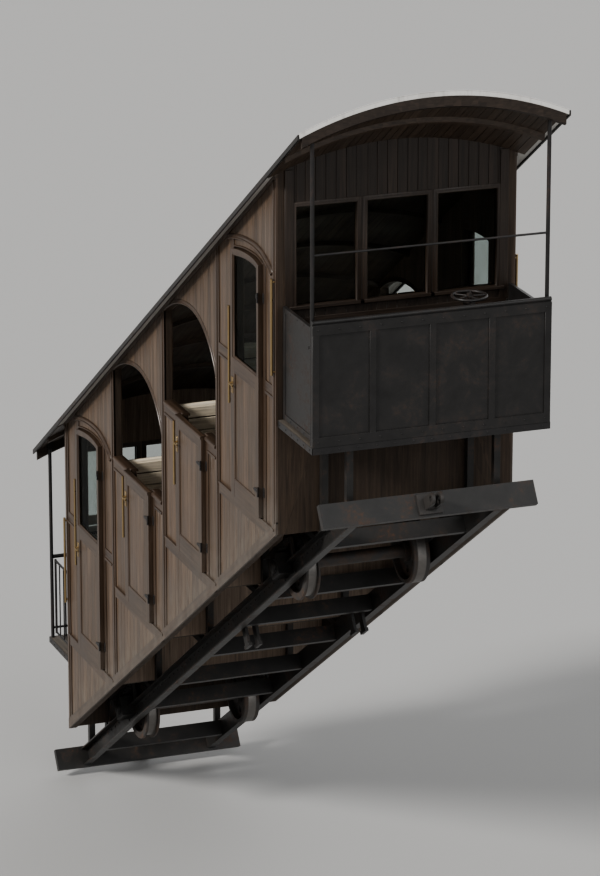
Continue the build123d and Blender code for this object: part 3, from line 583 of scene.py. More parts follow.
def side_boards(s, outer):
    sh = Shape()
    to3 = side_out(s) if outer else side_in(s)
    y = HALF if outer else INNER
    thick = 0.008 if outer else 0.006
    for k in range(BAYS):
        cuts = [PILLAR, BAY - PILLAR] + ([LAP_X0, LAP_X1] if outer else [DOORWAY_X0, DOORWAY_X1])
        for a, b, ga, gb in board_edges(0.0, BAY, 16, cuts):
            ops = openings(k, (a + b) / 2, outer)
            a2, b2 = a + (GROOVE if ga else 0), b - (GROOVE if gb else 0)
            steps = 5 if ops else 1
            ds = [a2 + (b2 - a2) * i / steps for i in range(steps + 1)]
            xs = [bay_x(k) + d for d in ds]
            f = bay_floor(k)
            eps = 1e-4
            lows = [[skirt(x) for x in xs]] if outer else [[max(skirt(x) + 0.04, f - 0.02) for x in xs]]
            highs = []
            for z0, z1 in ops:
                highs.append([f + z0] * len(xs))
                curved = []
                for d in ds:
                    dd = min(max(d, a + eps), b - eps)
                    o2 = openings(k, dd, outer)
                    curved.append(f + (o2[0][1] if o2 else z1))
                lows.append(curved)
            highs.append([eave(x, y) - 0.004 for x in xs])
            for lo, hi in zip(lows, highs):
                if min(h - l for l, h in zip(lo, hi)) < 0.01:
                    continue
                poly = list(zip(xs, lo)) + list(zip(reversed(xs), reversed(hi)))
                sh.prism(poly, 0.0, thick, to3)
    return sh


for side, s in SIDES:
    side_boards(s, True).make(f"{side}_outer_boards", panel_z, slot="body_timber", bevel=0.0022)
    side_boards(s, False).make(f"{side}_inner_boards", inner_z, slot="body_timber", bevel=0.0016)

# ------------------------------------------------------------------ side walls: frames, rails and mouldings
RIM = [(0.0, -0.002), (0.0, 0.014), (0.006, 0.02), (0.014, 0.02), (0.018, 0.015), (0.034, 0.015), (0.044, 0.011), (0.048, 0.004), (0.048, -0.002)]
BEAD = [(0.0, -0.001), (0.0, 0.008), (0.004, 0.0125), (0.011, 0.0125), (0.015, 0.008), (0.015, -0.001)]


def arch_path(k, z0=None, inset=0.0, n=26):
    """Along bay k's arch; with z0, its two legs down to that height as well."""
    x, f = bay_x(k), bay_floor(k)
    a, b = PILLAR + inset, BAY - PILLAR - inset
    pts = [(x + a, f + z0)] if z0 else []
    for i in range(n + 1):
        d = a + (b - a) * i / n
        pts.append((x + d, f + arch_top(k, d, inset)))
    return pts + ([(x + b, f + z0)] if z0 else [])


def run_profile(sh, prof, a, b, to3, mat=0):
    """A closed profile run straight from a to b along the car."""
    m = len(prof)
    faces = [tuple(range(m)), tuple(range(2 * m - 1, m - 1, -1))]
    faces += [(i, (i + 1) % m, m + (i + 1) % m, m + i) for i in range(m)]
    sh.add([to3(e, q, z) for e in (a, b) for q, z in prof], faces, mat)


SILL_CAP = [
    (HALF + 0.03, -0.014), (HALF + 0.034, 0.0), (HALF + 0.03, 0.014), (HALF + 0.018, 0.022), (INNER - 0.008, 0.022), (INNER - 0.02, 0.014),
    (INNER - 0.022, 0.002), (INNER - 0.016, -0.008), (INNER - 0.004, -0.001), (HALF + 0.012, -0.001), (HALF + 0.018, -0.014),
]
# where a door laps over the wall the capping stays within it
SILL_CAP_IN = [(HALF - 0.001, -0.001), (HALF - 0.001, 0.016), (HALF - 0.008, 0.022), (INNER - 0.008, 0.022), (INNER - 0.02, 0.014), (INNER - 0.022, 0.002), (INNER - 0.016, -0.008), (INNER - 0.004, -0.001)]


for side, s in SIDES:
    out3, in3 = side_out(s), side_in(s)
    z_, x_, sl_ = 0, 1, 2
    fr = Shape()
    # skirt rail and eave rail, parallel to the track
    for lo, hi, t in (
        (lambda x: skirt(x), lambda x: skirt(x) + 0.115, 0.022),
        (lambda x: eave(x) - 0.05, lambda x: eave(x) - 0.006, 0.026),
    ):
        for k in range(BAYS):
            a, b = bay_x(k), bay_x(k + 1)
            fr.prism([(a, lo(a)), (b, lo(b)), (b, hi(b)), (a, hi(a))], 0.0, t, out3, sl_)
    # pillars
    for k in range(BAYS + 1):
        a, b = max(bay_x(k) - 0.05, X_LOW), min(bay_x(k) + 0.05, X_TOP)
        if k in (0, BAYS):
            a, b = (X_LOW, X_LOW + 0.1) if k == 0 else (X_TOP - 0.1, X_TOP)
        fr.prism([(a, skirt(a) + 0.1), (b, skirt(b) + 0.1), (b, eave(b) - 0.045), (a, eave(a) - 0.045)], 0.0, 0.019, out3, z_)
        # a bead down the middle of each pillar
        m = (a + b) / 2
        fr.prism([(m - 0.012, skirt(m) + 0.12), (m + 0.012, skirt(m) + 0.12), (m + 0.012, eave(m) - 0.055), (m - 0.012, eave(m) - 0.055)], 0.0, 0.026, out3, z_)
    for k in range(BAYS):
        x, f = bay_x(k), bay_floor(k)
        a, b = x + PILLAR, x + BAY - PILLAR
        # level rail at the floor, down to the skirt
        fr.prism([(a, f - 0.11), (x + (f - 0.11 - skirt(x)) / GRADE, f - 0.11), (b, max(skirt(b), f - 0.11)), (b, f - 0.004), (a, f - 0.004)], 0.0, 0.0205, out3, x_)
        fr.prism([(a, f - 0.018), (b, f - 0.018), (b, f + 0.004), (a, f + 0.004)], 0.0, 0.03, out3, x_)
        # uprights beside the door
        jambs = ((0.385, LAP_X0), (LAP_X1, 1.282))
        for u, v in jambs:
            t0, t1 = (f + (SILL if k in OPEN_BAYS else arch_top(k, e, 0.05)) for e in (u, v))
            fr.prism([(x + u, f), (x + v, f), (x + v, t1), (x + u, t0)], 0.0, 0.018, out3, z_)
        # waist rail, broken at the door
        w0, w1 = SILL - 0.11, SILL
        for u, v in ((PILLAR, jambs[0][0]), (jambs[1][1], BAY - PILLAR)):
            fr.prism([(x + u, f + w0), (x + v, f + w0), (x + v, f + w1), (x + u, f + w1)], 0.0, 0.0185, out3, x_)
            fr.prism([(x + u, f + w0 - 0.004), (x + v, f + w0 - 0.004), (x + v, f + w0 + 0.018), (x + u, f + w0 + 0.018)], 0.0, 0.027, out3, x_)
        if k in OPEN_BAYS:
            # sill capping over the wall's top, both sides of the door
            to3 = lambda e, q, z: (e, s * q, f + SILL + z)
            for u, v in ((PILLAR, LAP_X0), (LAP_X1, BAY - PILLAR)):
                run_profile(fr, SILL_CAP, x + u, x + v, to3, x_)
            for u, v in ((LAP_X0, DOORWAY_X0), (DOORWAY_X1, LAP_X1)):
                run_profile(fr, SILL_CAP_IN, x + u, x + v, to3, x_)
            fr.sweep(arch_path(k, SILL + 0.02), RIM, out3, z_)
            fr.sweep(arch_path(k, SILL + 0.02), [(a_, h * 0.6) for a_, h in RIM], in3, z_)
        else:
            # a hood mould along the arch, out of the eave rail, and a bead over the door's head
            hood = [(x + d, f + arch_top(k, d, 0.05)) for d in [0.345 + (BAY - (0.1 if k else 0.052) - 0.345) * i / 26 for i in range(27)]]
            fr.sweep(hood, [(a_, h * 1.9) for a_, h in RIM], out3, x_)
            bead = [(x + d, f + arch_top(k, d, DOOR_DROP - 0.008)) for d in [LAP_X0 + (LAP_X1 - LAP_X0) * i / 12 for i in range(13)]]
            fr.sweep(bead, [(a_ * 1.3, h * 1.7) for a_, h in BEAD], out3, x_)
        # wall leaves of the hinges, uphill of each pin
        for z in (f + 0.26, f + (SILL if k in OPEN_BAYS else DOOR_H) - 0.26):
            pin = DOOR_X + DOOR_W + HINGE_GAP
            fr.box(x + pin + 0.0125, x + pin + 0.05, s * (HALF + 0.002), s * (HALF + 0.0225), z - 0.045, z + 0.045, 3)
            for dz in (-0.03, 0.0, 0.03):
                fr.stud((x + pin + 0.035, s * (HALF + 0.0225), z + dz), (0, s, 0), 0.005, 0.003, 3)
    fr.make(f"{side}_frame_trim", [trim_z, trim_x, trim_s, black_fine], slot="body_timber", bevel=0.0022)


# ------------------------------------------------------------------ doors
def make_door(side, s, k):
    x, f = bay_x(k) + DOOR_X, bay_floor(k)
    x1 = x + DOOR_W
    glazed = k in CLOSED_BAYS
    top = f + (DOOR_H if glazed else SILL)
    low = f + DOOR_FOOT
    y_in, y_out = HALF + DOOR_OFF, HALF + DOOR_OFF + DOOR_T
    to3 = lambda u, v, h: (u, s * h, v)
    d = Shape()
    z_, x_, br_, gr_ = 0, 1, 2, 3
    st, sg = DOOR_STILE, DOOR_RAIL
    waist = f + SILL

    def head(e, drop):
        return f + arch_top(k, e - bay_x(k), drop)

    d.prism([(x, low), (x + st, low), (x + st, waist), (x, waist)], y_in, y_out, to3, z_)
    d.prism([(x1 - st, low), (x1, low), (x1, waist), (x1 - st, waist)], y_in, y_out, to3, z_)
    rails = [(low, low + 0.16)]
    if glazed:
        rails += [(waist - 0.13, waist)]
        # slender frame round the glass, its head curved
        for u, v in ((x, x + sg), (x1 - sg, x1)):
            d.prism([(u, waist), (v, waist), (v, head(v, DOOR_DROP)), (u, head(u, DOOR_DROP))], y_in, y_out, to3, z_)
        es = [x + sg + (DOOR_W - 2 * sg) * i / 10 for i in range(11)]
        for u, v in zip(es, es[1:]):
            d.prism([(u, head(u, DOOR_DROP + sg)), (v, head(v, DOOR_DROP + sg)), (v, head(v, DOOR_DROP)), (u, head(u, DOOR_DROP))], y_in + 0.001, y_out - 0.001, to3, x_)
    else:
        rails += [(top - 0.1, top)]
    for a, b in rails:
        d.prism([(x + st, a), (x1 - st, a), (x1 - st, b), (x + st, b)], y_in + 0.001, y_out - 0.001, to3, x_)
    # boarded panel, set back from both faces
    z0, z1 = rails[0][1] - 0.01, rails[1][0] + 0.01
    n = 5
    w = (DOOR_W - 2 * st) / n
    for i in range(n):
        a, b = x + st + w * i + GROOVE, x + st + w * (i + 1) - GROOVE
        d.prism([(a, z0), (b, z0), (b, z1), (a, z1)], y_in + 0.012, y_out - 0.012, to3, 4)
    # bead round the panel
    path = [(x + st, z0 + 0.01), (x + st, z1 - 0.01), (x1 - st, z1 - 0.01), (x1 - st, z0 + 0.01)]
    bead = [(-0.012, 0.0), (-0.012, 0.006), (-0.006, 0.0105), (0.0, 0.0115), (0.0, 0.0)]
    d.sweep(path, bead, lambda u, v, h: (u, s * (y_out - 0.012 + h), v), z_, closed=True)
    if glazed:
        path = [(x + sg, waist)] + [(e, head(e, DOOR_DROP + sg)) for e in es] + [(x1 - sg, waist)]
        for base, sign in ((y_in + DOOR_T / 2 + 0.0035, 1), (y_in + DOOR_T / 2 - 0.0035, -1)):
            d.sweep(path, [(-0.014, 0.0), (-0.014, 0.007), (-0.008, 0.015), (0.0, 0.017), (0.0, 0.0)], lambda u, v, h, b=base, g=sign: (u, s * (b + g * h), v), z_, closed=True)
    else:
        # capping on the door's top edge, rounded over its outer face
        prof = [(y_in, -0.001), (y_in, 0.012), (y_in + 0.006, 0.018), (y_out, 0.018), (y_out + 0.008, 0.012), (y_out + 0.01, 0.0), (y_out + 0.007, -0.014), (y_out, -0.014), (y_out - 0.001, -0.001)]
        run_profile(d, prof, x + 0.001, x1 - 0.001, lambda e, q, z: (e, s * q, top + z), x_)
    # lock plate and handle on the downhill stile
    hz = f + SILL - 0.26
    hx = x + st * 0.5
    d.prism([(hx - 0.024, hz - 0.075), (hx + 0.024, hz - 0.075), (hx + 0.024, hz + 0.075), (hx - 0.024, hz + 0.075)], y_out - 0.002, y_out + 0.004, to3, br_)
    d.lathe([(0, 0.011), (0.02, 0.009), (0.03, 0.009)], (hx, s * y_out, hz + 0.02), (0, s, 0), 14, br_)
    d.pipe([(hx - 0.012, s * (y_out + 0.03), hz + 0.02), (hx + 0.02, s * (y_out + 0.034), hz + 0.02), (hx + 0.06, s * (y_out + 0.034), hz + 0.018), (hx + 0.088, s * (y_out + 0.03), hz + 0.012)], 0.0075, 12, br_)
    d.lathe([(0, 0.0045), (0.003, 0.0045)], (hx, s * (y_out + 0.003), hz - 0.035), (0, s, 0), 12, gr_)
    for zz in (-0.062, 0.062):
        d.stud((hx, s * (y_out + 0.004), hz + zz), (0, s, 0), 0.0045, 0.002, br_)
    # strap hinges, knuckles on the pin outside the leaf
    pin_x, pin_y = x1 + HINGE_GAP, y_out + HINGE_R
    for z in (f + 0.26, top - 0.26):
        beside_glass = z > waist
        if beside_glass:
            pts = [(pin_x - 0.002, z - 0.022), (pin_x - 0.002, z + 0.022), (pin_x - DOOR_RAIL, z + 0.019), (pin_x - DOOR_RAIL, z - 0.019)]
        else:
            pts = [(pin_x - 0.002, z - 0.022), (pin_x - 0.002, z + 0.022), (pin_x - 0.1, z + 0.015), (pin_x - 0.118, z + 0.011), (pin_x - 0.13, z), (pin_x - 0.118, z - 0.011), (pin_x - 0.1, z - 0.015)]
        d.prism(pts, y_out - 0.001, y_out + 0.007, to3, gr_)
        for a, b in ((-0.045, -0.0165), (-0.0145, 0.0145), (0.0165, 0.045)):
            d.tube((pin_x, s * pin_y, z + a), (pin_x, s * pin_y, z + b), HINGE_R - 0.0002, 14, gr_)
        for dx in (-0.018, -0.04) if beside_glass else (-0.035, -0.07, -0.105):
            d.stud((pin_x + dx, s * (y_out + 0.007), z), (0, s, 0), 0.0055, 0.003, gr_)
    name = f"{side}_door_{k + 1}"
    return d.make(f"{name}_leaf", [trim_z, trim_x, brass_mat, black_fine, panel_z], body=name, slot="body_timber", hides=(name,), bevel=0.0018)


for side, s in SIDES:
    for k in range(BAYS):
        make_door(side, s, k)

# ------------------------------------------------------------------ end walls
END_LIGHTS = ((-0.93, -0.38), (-0.275, 0.275), (0.38, 0.93))


def end_boards(x, d, z_low, z_sill, z_head, thick=0.008):
    """Boards, frame and beads on one face of an end wall."""
    to3 = face_x(x, d)
    sh, fr = Shape(), Shape()
    cuts = [v for p in END_LIGHTS for v in p]
    for a, b, ga, gb in board_edges(-INNER, INNER, 22, cuts):
        a2, b2 = a + (GROOVE if ga else 0), b - (GROOVE if gb else 0)
        ys = [a2, (a2 + b2) / 2, b2]
        mid = (a + b) / 2
        lows, highs = [[z_low] * 3], []
        if any(p < mid < q for p, q in END_LIGHTS):
            highs.append([z_sill] * 3)
            lows.append([z_head] * 3)
        highs.append([EAVE_UP + GRADE * x + soffit(y) - 0.004 for y in ys])
        for lo, hi in zip(lows, highs):
            sh.prism(list(zip(ys, lo)) + list(zip(reversed(ys), reversed(hi))), 0.0, thick, to3)
    for a, b in END_LIGHTS:
        path = [(a, z_sill), (a, z_head), (b, z_head), (b, z_sill)]
        fr.sweep(path, [(q, h) for q, h in RIM], to3, 0, closed=True)
        fr.prism([(a - 0.07, z_sill - 0.03), (b + 0.07, z_sill - 0.03), (b + 0.07, z_sill - 0.002), (a - 0.07, z_sill - 0.002)], 0.0, 0.034, to3, 1)
    for z0, z1 in ((z_sill - 0.2, z_sill - 0.11), (z_low, z_low + 0.11)):
        fr.prism([(-INNER, z0), (INNER, z0), (INNER, z1), (-INNER, z1)], 0.0, 0.018, to3, 1)
    for y in (-INNER, INNER - 0.08):
        hi = EAVE_UP + GRADE * x + soffit(abs(y) if abs(y) > 1 else 1.0) - 0.01
        fr.prism([(y, z_low), (y + 0.08, z_low), (y + 0.08, hi), (y, hi)], 0.0, 0.0175, to3, 0)
    return sh, fr


LOW_SILL, LOW_HEAD = bay_floor(0) + 1.06, bay_floor(0) + 1.9
UP_SILL, UP_HEAD = UP_FLOOR + 1.02, UP_FLOOR + 1.9
for name, x, d, z_low, z_sill, z_head, inside in (
    ("upper_end_outer", X_TOP, 1, UP_FLOOR, UP_SILL, UP_HEAD, False),
    ("upper_end_inner", X_TOP - END_WALL, -1, bay_floor(3), UP_SILL, UP_HEAD, True),
    ("lower_end_outer", X_LOW, -1, LOW_FLOOR, LOW_SILL, LOW_HEAD, False),
    ("lower_end_inner", X_LOW + END_WALL, 1, bay_floor(0), LOW_SILL, LOW_HEAD, True),
):
    sh, fr = end_boards(x, d, z_low, z_sill, z_head, 0.006 if inside else 0.008)
    # outer end faces take the near-black end wood, painted shade
    sh.make(f"{name}_boards", inner_z if inside else shaded_end_z, slot="body_timber", bevel=0.002)
    fr.make(f"{name}_frame", [trim_z, trim_y] if inside else [shaded_end_trim_z, shaded_end_trim_y], slot="body_timber", bevel=0.002)

# ------------------------------------------------------------------ partitions: boards and a rounded capping
pt = Shape()
for k in range(1, BAYS):
    x, z0, z1 = bay_x(k), bay_floor(k - 1), bay_floor(k) + PARTITION_TOP
    for d in (-1, 1):
        lo = z0 if d < 0 else bay_floor(k)
        n = 24
        for i in range(n):
            a = -INNER + 2 * INNER * i / n + GROOVE
            b = -INNER + 2 * INNER * (i + 1) / n - GROOVE
            pt.prism([(a, lo), (b, lo), (b, z1 - 0.002), (a, z1 - 0.002)], 0.0, 0.0045, face_x(x + d * PARTITION / 2, d), 0)
    prof = [(-0.026, -0.02), (-0.032, -0.004), (-0.026, 0.012), (-0.012, 0.022), (0.012, 0.022), (0.026, 0.012), (0.032, -0.004), (0.026, -0.02)]
    m = len(prof)
    pt.add([(x + a, y, z1 + z) for y in (-INNER, INNER) for a, z in prof], [tuple(range(m)), tuple(range(2 * m - 1, m - 1, -1))] + [(i, (i + 1) % m, m + (i + 1) % m, m + i) for i in range(m)], 1)
pt.make("partition_boards", [inner_z, bench_y], slot="inner_timber", bevel=0.0016)

# ------------------------------------------------------------------ benches: slatted seats and backs
SEAT_UP, SEAT_DEEP = 0.43, 0.415
bn = Shape()


def floor_span(k):
    a = X_LOW + END_WALL if k == 0 else bay_x(k) + PARTITION / 2
    b = X_TOP - END_WALL if k == BAYS - 1 else bay_x(k + 1) - PARTITION / 2
    return a, b


BENCH_HALF = INNER - 0.025
for k in range(BAYS):
    a0, b0 = floor_span(k)
    for xb, d, back_up in ((a0, 1, PARTITION_TOP - 0.005), (b0, -1, 0.985)):
        f = bay_floor(k)
        # seat slats, gently dished
        n = 7
        for i in range(n):
            u0 = 0.03 + (SEAT_DEEP - 0.03) * i / n
            u1 = u0 + (SEAT_DEEP - 0.03) / n - 0.011
            dip = -0.010 * math.sin(math.pi * (i + 0.5) / n)
            xs = sorted((xb + d * u0, xb + d * u1))
            bn.box(xs[0], xs[1], -BENCH_HALF, BENCH_HALF, f + SEAT_UP - 0.022 + dip, f + SEAT_UP + dip - 0.0005, 0)
        # back slats, and a rail over them with a gap beneath it
        rail = 0.11 if d > 0 else 0.07
        n = 5 if d > 0 else 4
        z0, z1 = f + SEAT_UP + 0.07, f + back_up - rail - 0.006
        w = (z1 - z0) / n
        xs = sorted((xb + d * 0.006, xb + d * 0.026))
        for i in range(n):
            bn.box(xs[0], xs[1], -BENCH_HALF, BENCH_HALF, z0 + w * i + 0.009, z0 + w * (i + 1), 0)
        xs = sorted((xb + d * 0.006, xb + d * 0.0275))
        bn.box(xs[0], xs[1], -BENCH_HALF, BENCH_HALF, f + back_up - rail + 0.008, f + back_up - 0.001, 0)
        # supports: shaped brackets under the seat
        for y in (-BENCH_HALF + 0.06, 0.0, BENCH_HALF - 0.06):
            prof = [(0.035, 0.0), (0.075, 0.0), (0.085, 0.28), (SEAT_DEEP - 0.13, 0.34), (SEAT_DEEP - 0.09, 0.0), (SEAT_DEEP - 0.04, 0.0), (SEAT_DEEP - 0.035, SEAT_UP - 0.03), (0.035, SEAT_UP - 0.03)]
            bn.prism([(xb + d * a, f + z) for a, z in prof], y - 0.016, y + 0.016, lambda u, v, h: (u, h, v), 1)
bn.make("bench_slats", [bench_y, bench_z], slot="bench_timber", hides=("bench_seats", "bench_backs", "bench_supports"), bevel=0.003, segments=2)

# ------------------------------------------------------------------ roof: seams, lining, edges
def arc_points(x, half, off, n=28):
    """Across the roof at x, off above its underside."""
    return [(x, -half + 2 * half * i / n, EAVE_UP + GRADE * x + soffit(half * (2 * i / n - 1)) + off) for i in range(n + 1)]


def arc_strip(sh, x0, x1, half, lo, hi, mat=0, n=28):
    """A thin band following the roof's curve, from x0 to x1 up the slope."""
    rows = [arc_points(x0, half, lo, n), arc_points(x1, half, lo, n), arc_points(x1, half, hi, n), arc_points(x0, half, hi, n)]
    m = n + 1
    verts = [p for r in rows for p in r]
    faces = []
    for j in range(4):
        e = (j + 1) % 4
        for i in range(n):
            faces.append((j * m + i, j * m + i + 1, e * m + i + 1, e * m + i))
    faces += [(0, m, 2 * m, 3 * m), (n, 3 * m + n, 2 * m + n, m + n)]
    sh.add(verts, faces, mat)


rf = Shape()
x = ROOF_X0 + 0.02
seam = (ROOF_X1 - ROOF_X0 - 0.3) / 10
for i in range(11):
    xs = ROOF_X0 + 0.15 + seam * i
    if 0 < i < 10:
        arc_strip(rf, xs - 0.006, xs + 0.006, ROOF_HALF - 0.004, ROOF_T - 0.002, ROOF_T + 0.016)
        arc_strip(rf, xs - 0.03, xs + 0.03, ROOF_HALF - 0.004, ROOF_T - 0.002, ROOF_T + 0.0022)
rf.make("roof_seams", roof_mat, slot="roof_sheet", bevel=0.0015)

ln = Shape()
# ceiling boards between the ribs, running up the slope
RIB_X = [bay_x(k) + BAY / 2 * j for k in range(BAYS) for j in (0, 1)][1:] + [-3.43, 3.52]
count = 26
spans = [(ROOF_X0 + 0.03, X_LOW - 0.0), (X_LOW + END_WALL, X_TOP - END_WALL), (X_TOP, ROOF_X1 - 0.03)]
for a, b in spans:
    half = INNER - 0.002 if a > -3.2 and b < 3.2 else 1.19
    m = count if half < 1.1 else count + 4
    for i in range(m):
        y0, y1 = -half + 2 * half * i / m + GROOVE, -half + 2 * half * (i + 1) / m - GROOVE
        za = [(y0, soffit(y0) - 0.001), (y1, soffit(y1) - 0.001), (y1, soffit(y1) - 0.011), (y0, soffit(y0) - 0.011)]
        pts = [(x, y, EAVE_UP + GRADE * x + z) for x in (a, b) for y, z in za]
        ln.add(pts, [(0, 1, 2, 3), (7, 6, 5, 4), (0, 4, 5, 1), (1, 5, 6, 2), (2, 6, 7, 3), (3, 7, 4, 0)], 0)
ln.make("ceiling_lining", ceil_s, slot="inner_timber", bevel=0.0016)

# light metal edge strips folded over both ends of the roof
ed = Shape()
for x0, x1 in ((ROOF_X1 - 0.03, ROOF_X1 + 0.004), (ROOF_X0 - 0.004, ROOF_X0 + 0.03)):
    arc_strip(ed, x0, x1, ROOF_HALF - 0.002, ROOF_T - 0.004, ROOF_T + 0.0045, 0, 40)
for x0, x1 in ((ROOF_X1 - 0.001, ROOF_X1 + 0.004), (ROOF_X0 - 0.004, ROOF_X0 + 0.001)):
    arc_strip(ed, x0, x1, ROOF_HALF - 0.002, -0.014, ROOF_T, 0, 40)
ed.make("roof_end_strips", roof_edge, slot="roof_sheet", bevel=0.0012)

# ------------------------------------------------------------------ platforms
pf = Shape()
for x0, x1, f in ((X_TOP, 3.96, UP_FLOOR), (-3.78, X_LOW, LOW_FLOOR)):
    n = 20
    for i in range(n):
        a, b = -HALF + 2 * HALF * i / n + 0.0015, -HALF + 2 * HALF * (i + 1) / n - 0.0015
        pf.box(x0 + 0.02, x1 - 0.001, a, b, f + 0.0, f + 0.006, 0)
pf.make("platform_planks", floor_x, slot="inner_timber", bevel=0.0015)
cf = Shape()
for k in range(BAYS):
    a, b = floor_span(k)
    n = 13
    for i in range(n):
        u0, u1 = a + (b - a) * i / n + 0.0015, a + (b - a) * (i + 1) / n - 0.0015
        cf.box(u0, u1, -INNER + 0.006, INNER - 0.006, bay_floor(k), bay_floor(k) + 0.006, 0)
cf.make("compartment_planks", floor_y, slot="inner_timber", bevel=0.0015)

dp = Shape()
# upper dash: stiles, rails and rivet heads on both faces; the brass-capped top rail is the CAD's
for d, xface in ((1, DASH_X + 0.025), (-1, DASH_X)):
    to3 = face_x(xface, d)
    z0, z1 = UP_FLOOR, UP_FLOOR + DASH_H
    for a, b in ((z0, z0 + 0.09), (z1 - 0.1, z1 - 0.012)):
        dp.prism([(-HALF, a), (HALF, a), (HALF, b), (-HALF, b)], 0.0, 0.012, to3)
    for y in (-1.1, -0.55 - 0.03, -0.03, 0.55 - 0.03, 1.04):
        dp.prism([(y, z0 + 0.085), (y + 0.06, z0 + 0.085), (y + 0.06, z1 - 0.095), (y, z1 - 0.095)], 0.0, 0.0115, to3)
    for i in range(12):
        for z in (z0 + 0.045, z1 - 0.055):
            y = -1.05 + 2.1 * i / 11
            dp.stud(to3(y, z, 0.012), (d, 0, 0), 0.009, 0.006)
dp.make("dash_framing", dash_mat, slot="platform_iron", bevel=0.0015)

# flat iron round the side gates' leaves
for side, s in SIDES:
    gt = Shape()
    to3 = side_out(s, 1.065)
    a, b, z0, z1 = 3.146, 3.868, UP_FLOOR + 0.025, UP_FLOOR + 1.04
    for lo, hi in ((z0 + 0.002, z0 + 0.05), (z1 - 0.05, z1 - 0.002)):
        gt.prism([(a + 0.002, lo), (b - 0.002, lo), (b - 0.002, hi), (a + 0.002, hi)], -0.002, 0.006, to3)
    for lo, hi in ((a + 0.002, a + 0.05), (b - 0.05, b - 0.002)):
        gt.prism([(lo, z0 + 0.048), (hi, z0 + 0.048), (hi, z1 - 0.048), (lo, z1 - 0.048)], -0.002, 0.0055, to3)
    for i in range(5):
        for z in (z0 + 0.026, z1 - 0.026):
            gt.stud(to3(a + 0.03 + (b - a - 0.06) * i / 4, z, 0.006), (0, s, 0), 0.007, 0.0045)
    # drop latch by the post
    gt.prism([(b - 0.07, z1 - 0.2), (b - 0.004, z1 - 0.2), (b - 0.004, z1 - 0.175), (b - 0.07, z1 - 0.175)], 0.005, 0.013, to3)
    gt.stud(to3(b - 0.058, z1 - 0.1875, 0.013), (0, s, 0), 0.011, 0.007)
    gt.make(f"upper_gate_{side}_framing", dash_mat, body=f"upper_gate_{side}", slot="platform_iron", bevel=0.0012)

# iron angles round the platform floors
pe = Shape()
for x0, x1, f in ((X_TOP, 3.96, UP_FLOOR), (X_LOW, -3.78, LOW_FLOOR)):
    d = 1 if x1 > x0 else -1
    lo, hi = f - 0.062, f - 0.001
    a, b = sorted((x0 + d * 0.002, x1 + d * 0.004))
    for s in (-1, 1):
        pe.box(a, b, *sorted((s * (HALF - 0.001), s * (HALF + 0.004))), lo, hi)
        for i in range(6):
            pe.stud((x0 + d * 0.06 + (x1 - x0 - d * 0.12) * i / 5, s * (HALF + 0.004), f - 0.03), (0, s, 0), 0.008, 0.005)
    pe.box(*sorted((x1 - d * 0.001, x1 + d * 0.004)), -HALF - 0.004, HALF + 0.004, lo, hi)
    for i in range(13):
        pe.stud((x1 + d * 0.004, -1.03 + 2.06 * i / 12, f - 0.03), (d, 0, 0), 0.008, 0.005)
pe.make("platform_edges", black_fine, slot="platform_iron", bevel=0.001)

# ------------------------------------------------------------------ underframe: rivets, plates and bolts
rv = Shape()
for s in (-1, 1):
    for i in range(62):
        u = SOLE_U0 + 0.08 + i * 0.15
        if u > SOLE_U1 - 0.05:
            break
        for w in (SOLE_W0 + 0.004, SOLE_W1 - 0.004):
            pass
        rv.stud(slope_point(u, s * (SOLE_WEB + 0.014), SOLE_W0 + 0.045), (0, s, 0), 0.0095, 0.007)
        near = min(abs(u - AXLE_U), abs(u + AXLE_U))
        if near > 0.13:
            rv.stud(slope_point(u, s * (SOLE_WEB + 0.014), SOLE_W1 - 0.045), (0, s, 0), 0.0095, 0.007)
    for ua in (-AXLE_U, AXLE_U):
        for du, w in ((-0.16, 0.33), (-0.16, 0.38), (0.16, 0.33), (0.16, 0.38), (-0.16, 0.2), (0.16, 0.2)):
            rv.stud(slope_point(ua + du, s * (SOLE_WEB + 0.014), w), (0, s, 0), 0.012, 0.009)
        # axlebox cover: a rim and four bolts
        c = slope_point(ua, s * 0.812, WHEEL_R)
        rv.lathe([(0, 0.055), (0.006, 0.052), (0.009, 0.03), (0.011, 0)], c, (0, s, 0), 28)
        for a in (45, 135, 225, 315):
            t = math.radians(a)
            rv.stud(slope_point(ua + 0.085 * math.cos(t), s * 0.795, WHEEL_R + 0.075 * math.sin(t)), (0, s, 0), 0.013, 0.01)
        # spring buckle
        rv.slope_box(ua - 0.035, ua + 0.035, *sorted((s * 0.684, s * 0.766)), 0.405, 0.478)
rv.make("underframe_rivets", black, slot="frame_iron", bevel=0.0)

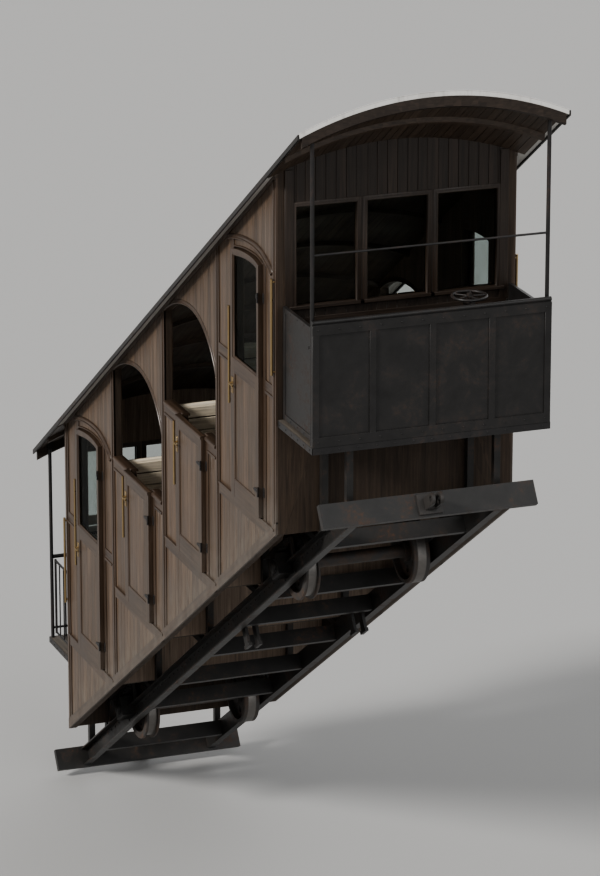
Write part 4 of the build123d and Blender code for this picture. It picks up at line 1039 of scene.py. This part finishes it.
# ------------------------------------------------------------------ floor, camera, light
floor = bpy.data.meshes.new("studio_floor")
z = cad_low.z if hasattr(cad_low, "z") else cad_low[2]
R = 900.0
floor.from_pydata([(-R, -R, z), (R, -R, z), (R, R, z), (-R, R, z)], [], [(0, 1, 2, 3)])
floor_obj = bpy.data.objects.new("studio_floor", floor)
bpy.context.scene.collection.objects.link(floor_obj)
fm = Nodes("studio_floor_paint")
floor.materials.append(fm.shade(color=(0.375, 0.372, 0.367), rough=0.95, spec=0.0))

cam_data = bpy.data.cameras.new("camera")
cam = bpy.data.objects.new("camera", cam_data)
bpy.context.scene.collection.objects.link(cam)
cam.location = (40.26, -14.58, 16.05)
AIM = Vector((0.22, 0.165, 2.3))
cam.rotation_mode = "QUATERNION"
cam.rotation_quaternion = (AIM - Vector(cam.location)).to_track_quat("-Z", "Y")
cam_data.sensor_width = 36.0
cam_data.sensor_fit = "AUTO"
cam_data.lens = 196.0
cam_data.clip_start, cam_data.clip_end = 1.0, 3000.0
bpy.context.scene.camera = cam


def sun(name, toward, strength, angle, color=(1, 1, 1)):
    d = bpy.data.lights.new(name, "SUN")
    d.energy, d.angle, d.color = strength, math.radians(angle), color
    o = bpy.data.objects.new(name, d)
    bpy.context.scene.collection.objects.link(o)
    o.rotation_mode = "QUATERNION"
    o.rotation_quaternion = Vector(toward).to_track_quat("-Z", "Y")
    return o


sun("key_light", (-0.22, 0.81, -0.52), 3.3, 12, (1.0, 0.98, 0.95))
sun("fill_light", (-0.85, -0.2, -0.45), 0.95, 50, (0.96, 0.98, 1.0))
sun("far_light", (0.55, -0.75, -0.5), 1.0, 60, (0.97, 0.98, 1.0))
world = bpy.data.worlds.new("studio_world")
bpy.context.scene.world = world
world.use_nodes = True
world.node_tree.nodes["Background"].inputs[0].default_value = (0.80, 0.80, 0.80, 1)
world.node_tree.nodes["Background"].inputs[1].default_value = 0.57
bpy.context.scene.view_settings.view_transform = "AgX"
bpy.context.scene.view_settings.look = "AgX - Medium High Contrast"
bpy.context.scene.view_settings.exposure = 0.0
